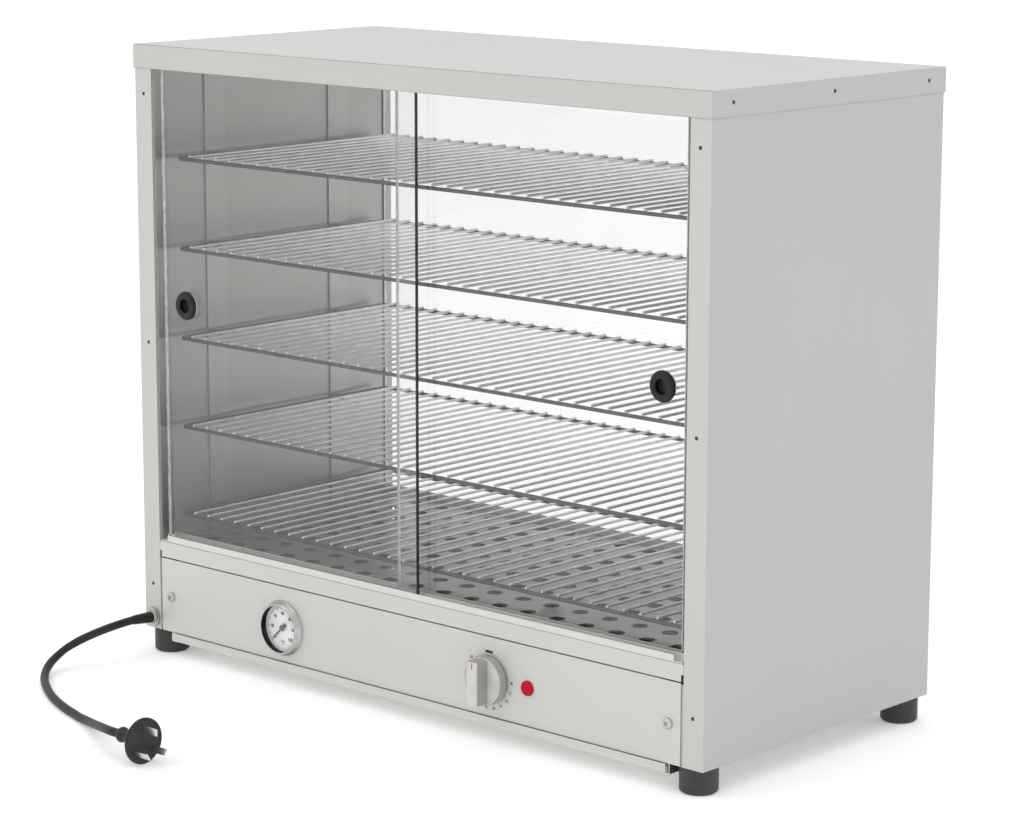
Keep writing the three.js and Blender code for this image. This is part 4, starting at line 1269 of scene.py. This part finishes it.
@dataclass
class Controls:
    """The gauge, the knob with its printed scale, the lamp and the panel screws.

    Lengths are in millimetres and angles in degrees.
    """

    bezel_profile: Profile = (
        (24.2, 0), (28.2, 0), (28.2, 0.7), (27.8, 1.3), (26.4, 4.4), (25.5, 6.3), (25, 6.9), (24.4, 7.1),
        (23.8, 7.05), (23.5, 6.8), (23.5, 5.9), (24.2, 5.8), (24.2, 0),
    )
    bore_facing: float = 0.3
    dial_profile: Profile = ((1.6, -0.6), (24.4, -0.6), (24.5, 0.0), (1.6, 0.0), (1.6, -0.6))
    gauge_marks: int = 13
    gauge_minor: int = 5
    gauge_first: float = -135.0
    gauge_sweep: float = 270.0
    gauge_numbers: float = 15.0
    gauge_number_size: float = 4.3
    gauge_number_step: int = 10
    mark_outer: float = 21.6
    long_mark: tuple[float, float] = (19.0, 0.3)
    short_mark: tuple[float, float] = (20.2, 0.14)
    mark_proud: float = 0.06
    mark_sunk: float = 0.02
    number_depth: float = 0.03
    number_weight: float = 0.05
    disc_profile: Profile = (
        (0, 0), (23.2, 0), (23.7, 0.5), (23.7, 7.0), (23.4, 8.1), (22.8, 8.9), (22.0, 9.2), (21.2, 9.0),
        (20.6, 8.5), (0, 8.5),
    )
    disc_facing: float = 0.75
    grip: Triple = (6.75, 8.0, 21.5)
    grip_draft: Triple = (0.95, 1.0, 0.98)
    grip_edge: float = 0.7
    grip_facing: float = 0.6
    index_half: float = 0.7
    index_proud: float = 0.05
    index_depth: float = 0.5
    index_span: tuple[float, float] = (13.4, 20.0)
    knob_first: float = 88.0
    knob_step: float = 20.0
    knob_marks: int = 12
    knob_least: int = 10
    knob_ring: float = 28.2
    knob_number_size: float = 3.4
    knob_mark: Triple = (3.0, 0.4, 4.6)
    seat: float = 0.3
    lamp_profile: Profile = (
        (0, -9.4), (5.2, -9.4), (5.2, 0), (7.3, 0), (7.3, 1.1), (7, 1.7), (6.5, 2), (6, 2.2), (5.2, 2.6),
        (3.9, 2.85), (2.2, 3), (0, 3),
    )
    screw_profile: Profile = (
        (0, -9), (2, -9), (2, 0), (5, 0), (5, 0.8), (4.7, 1.7), (3.9, 2.4), (2.6, 2.85), (1.2, 3), (0, 3),
    )
    recess_low: Triple = (-0.45, -4.0, -2.3)
    recess_high: Triple = (0.45, -1.6, 2.3)
    recess_turns: tuple[float, ...] = (35.0, 125.0)

    def make(self) -> None:
        """Builds every control."""
        self.bezel()
        self.dial()
        mount(softened("gauge_needle", 0.12, 1), NEEDLE_GREY, "gauge_needle")
        mount(softened("gauge_lens", 0.2, 1), LENS_GLASS, "gauge_lens")
        self.knob()
        self.knob_scale()
        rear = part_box("control_panel")[0].y - self.seat * MM
        lamp = turned("pilot_lamp", self.lamp_profile, middle("lamp_lens", rear), Axis.FRONT, 64, 0.1)
        mount(lamp, LAMP_RED, "lamp_lens")
        for side in Side:
            self.screw(side, rear)

    def bezel(self) -> None:
        """The conical bezel, polished outside, its bore near-black as painted shade in the recess."""
        centre = middle("gauge_bezel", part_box("gauge_bezel")[1].y)
        ring = turned("gauge_ring", self.bezel_profile, centre, Axis.FRONT, 96)

        def pick(face: bpy.types.MeshPolygon) -> int:
            outward = Vector((face.center.x - centre.x, 0.0, face.center.z - centre.z)).normalized()
            return 1 if face.normal.dot(outward) < -self.bore_facing else 0

        # Painted shade: the bore's faces wear near-black
        wear_by_face(ring, (CHROME, RECESS_SHADE_BLACK), pick)
        mount(ring, None, "gauge_bezel")

    def dial(self) -> None:
        """The white dial with its printed scale and numbers."""
        centre = middle("gauge_dial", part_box("gauge_dial")[0].y)
        plate = turned("dial_plate", self.dial_profile, centre, Axis.FRONT, 72)
        mount(plate, DIAL_WHITE, "gauge_dial")
        made = []
        total = (self.gauge_marks - 1) * self.gauge_minor
        for i in range(total + 1):
            turn = math.radians(self.gauge_first + self.gauge_sweep * i / total)
            inner, half = self.short_mark if i % self.gauge_minor else self.long_mark
            made.append(self.tick(centre, turn, inner, self.mark_outer, half))
        for i in range(0, self.gauge_marks, 2):
            turn = math.radians(self.gauge_first + self.gauge_sweep * i / (self.gauge_marks - 1))
            number = str(i * self.gauge_number_step)
            made.append(self.label(number, centre, turn, self.gauge_numbers, self.gauge_number_size))
        made.append(self.label("\u00b0C", centre, math.pi, self.gauge_numbers, self.gauge_number_size))
        mount(join("dial_scale", made), INK)

    def tick(self, centre: Vector, turn: float, inner: float, outer: float, half: float) -> Piece:
        """A printed mark that points away from a centre.

        Args:
            centre: the centre on the printed face.
            turn: clockwise from the top, seen from the front, in radians.
            inner: inner end, millimetres from the centre.
            outer: outer end.
            half: half its width.

        Returns:
            The mark.
        """
        low, high = Vector((-half, -self.mark_proud, inner)), Vector((half, self.mark_sunk, outer))
        mark = boxed("mark", low * MM, high * MM)
        mark.data.transform(Matrix.Translation(centre) @ Matrix.Rotation(turn, 4, "Y"))
        return mark

    def label(self, words: str, centre: Vector, turn: float, radius: float, size: float) -> Piece:
        """A printed number, upright at its place on the scale.

        Args:
            words: the number.
            centre: the dial's centre on its face.
            turn: clockwise from the top in radians.
            radius: distance from the centre in millimetres.
            size: text height in millimetres.

        Returns:
            The number as a mesh.
        """
        clear_selection()
        bpy.ops.object.text_add(location=(0, 0, 0))
        text = bpy.context.object
        text.data.body = words
        text.data.size = size * MM
        text.data.align_x = text.data.align_y = "CENTER"
        text.data.extrude = self.number_depth * MM
        text.data.offset = self.number_weight * size * MM
        bpy.ops.object.convert(target="MESH")
        text = bpy.context.object
        place = centre + Vector((math.sin(turn), 0, math.cos(turn))) * radius * MM
        text.data.transform(Matrix.Translation(place) @ Matrix.Rotation(math.radians(90), 4, "X"))
        return text

    def knob(self) -> None:
        """The grey knob: a disc with a grip bar and a red index."""
        low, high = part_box("thermostat_knob")
        centre = middle("thermostat_knob", high.y)
        reach = (high.y - low.y) / MM
        disc = turned("knob_disc", self.disc_profile, centre, Axis.FRONT, 96)
        # Painted shade on the flanks of the disc and, below, of the grip bar
        self.wear_flank(disc, self.disc_facing)
        half, foot, tall = self.grip
        low, high = Vector((-half, -reach, -tall)) * MM, Vector((half, -foot, tall)) * MM
        bar = boxed("knob_bar", centre + low, centre + high)
        self.draft(bar, centre - Vector((0, reach, 0)) * MM)
        round_edges(bar, self.grip_edge, 3, 40.0)
        smooth(bar)
        self.wear_flank(bar, self.grip_facing)
        mount(join("knob_moulding", [disc, bar]), None, "thermostat_knob")
        start, end = self.index_span
        low = Vector((-self.index_half, -reach - self.index_proud, start)) * MM
        high = Vector((self.index_half, -reach + self.index_depth, end)) * MM
        index = boxed("knob_index", centre + low, centre + high, 0.12)
        mount(index, RED_INK, body="knob")

    @staticmethod
    def wear_flank(piece: Piece, share: float) -> None:
        """Gives the knob's faces that look forward the pale finish, and its flanks a darker copy as painted
        shade.

        Args:
            piece: the disc or the grip.
            share: the least part of a normal to the front that counts as forward.
        """
        wear_by_face(piece, (KNOB_GREY, FLANK_SHADE_GREY), lambda face: 0 if face.normal.y < -share else 1)

    def draft(self, bar: Piece, front: Vector) -> None:
        """Draws the bar's front face in a little, as moulding needs.

        Args:
            bar: the grip bar.
            front: the middle of its front face.
        """
        edit_all(bar)
        bpy.ops.mesh.select_all(action="DESELECT")
        bpy.ops.object.mode_set(mode="OBJECT")
        for vertex in bar.data.vertices:
            vertex.select = abs(vertex.co.y - front.y) < 0.1 * MM
        bpy.ops.object.mode_set(mode="EDIT")
        bpy.ops.transform.resize(value=self.grip_draft, center_override=front)
        bpy.ops.object.mode_set(mode="OBJECT")

    def knob_scale(self) -> None:
        """The bar and the plain numbers printed round the knob."""
        centre = middle("thermostat_knob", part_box("control_panel")[0].y)
        inward, outward, half = self.knob_mark
        made = [self.tick(centre, 0.0, self.knob_ring - inward, self.knob_ring - outward, half)]
        for i in range(self.knob_marks):
            turn = math.radians(self.knob_first + i * self.knob_step)
            number = str(self.knob_least + i)
            made.append(self.label(number, centre, turn, self.knob_ring, self.knob_number_size))
        mount(join("knob_scale", made), INK)

    def screw(self, side: Side, rear: float) -> None:
        """A pan-head screw with a cross recess.

        Args:
            side: left or right end of the panel.
            rear: the depth that its head seats at.
        """
        node = f"panel_screw_{side.word}"
        centre = middle(node, rear)
        head = turned(f"cross_screw_{side.word}", self.screw_profile, centre, Axis.FRONT, 32)
        for turn in self.recess_turns:
            slot = boxed("recess", Vector(self.recess_low) * MM, Vector(self.recess_high) * MM)
            slot.data.transform(Matrix.Translation(centre) @ Matrix.Rotation(math.radians(turn), 4, "Y"))
            cut_away(head, slot)
        smooth(head)
        mount(head, SATIN, node)


@dataclass
class Feet:
    """The four black feet."""

    profile: Profile = (
        (0, 0), (14.8, 0), (15.7, 0.3), (17.4, 1.8), (18.0, 2.8), (18.0, 23.9), (17.4, 24.7), (0, 24.7),
    )

    def make(self) -> None:
        """Builds the feet."""
        for node in (f"foot_{end}_{side.word}" for end in ENDS for side in Side):
            low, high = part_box(node)
            centre = Vector(((low.x + high.x) / 2, (low.y + high.y) / 2, 0.0))
            foot = turned(f"turned_{node}", self.profile, centre, steps=56)
            mount(foot, FOOT_BLACK, node)


def main() -> None:
    """Builds the scene in order."""
    logging.basicConfig(level=logging.INFO, format="%(message)s")
    for kind in (View, PowerCord, Studio, Casing, Glazing, WireRacks, FloorPlate, Controls, Feet):
        kind().make()


if __name__ == "__main__":
    main()
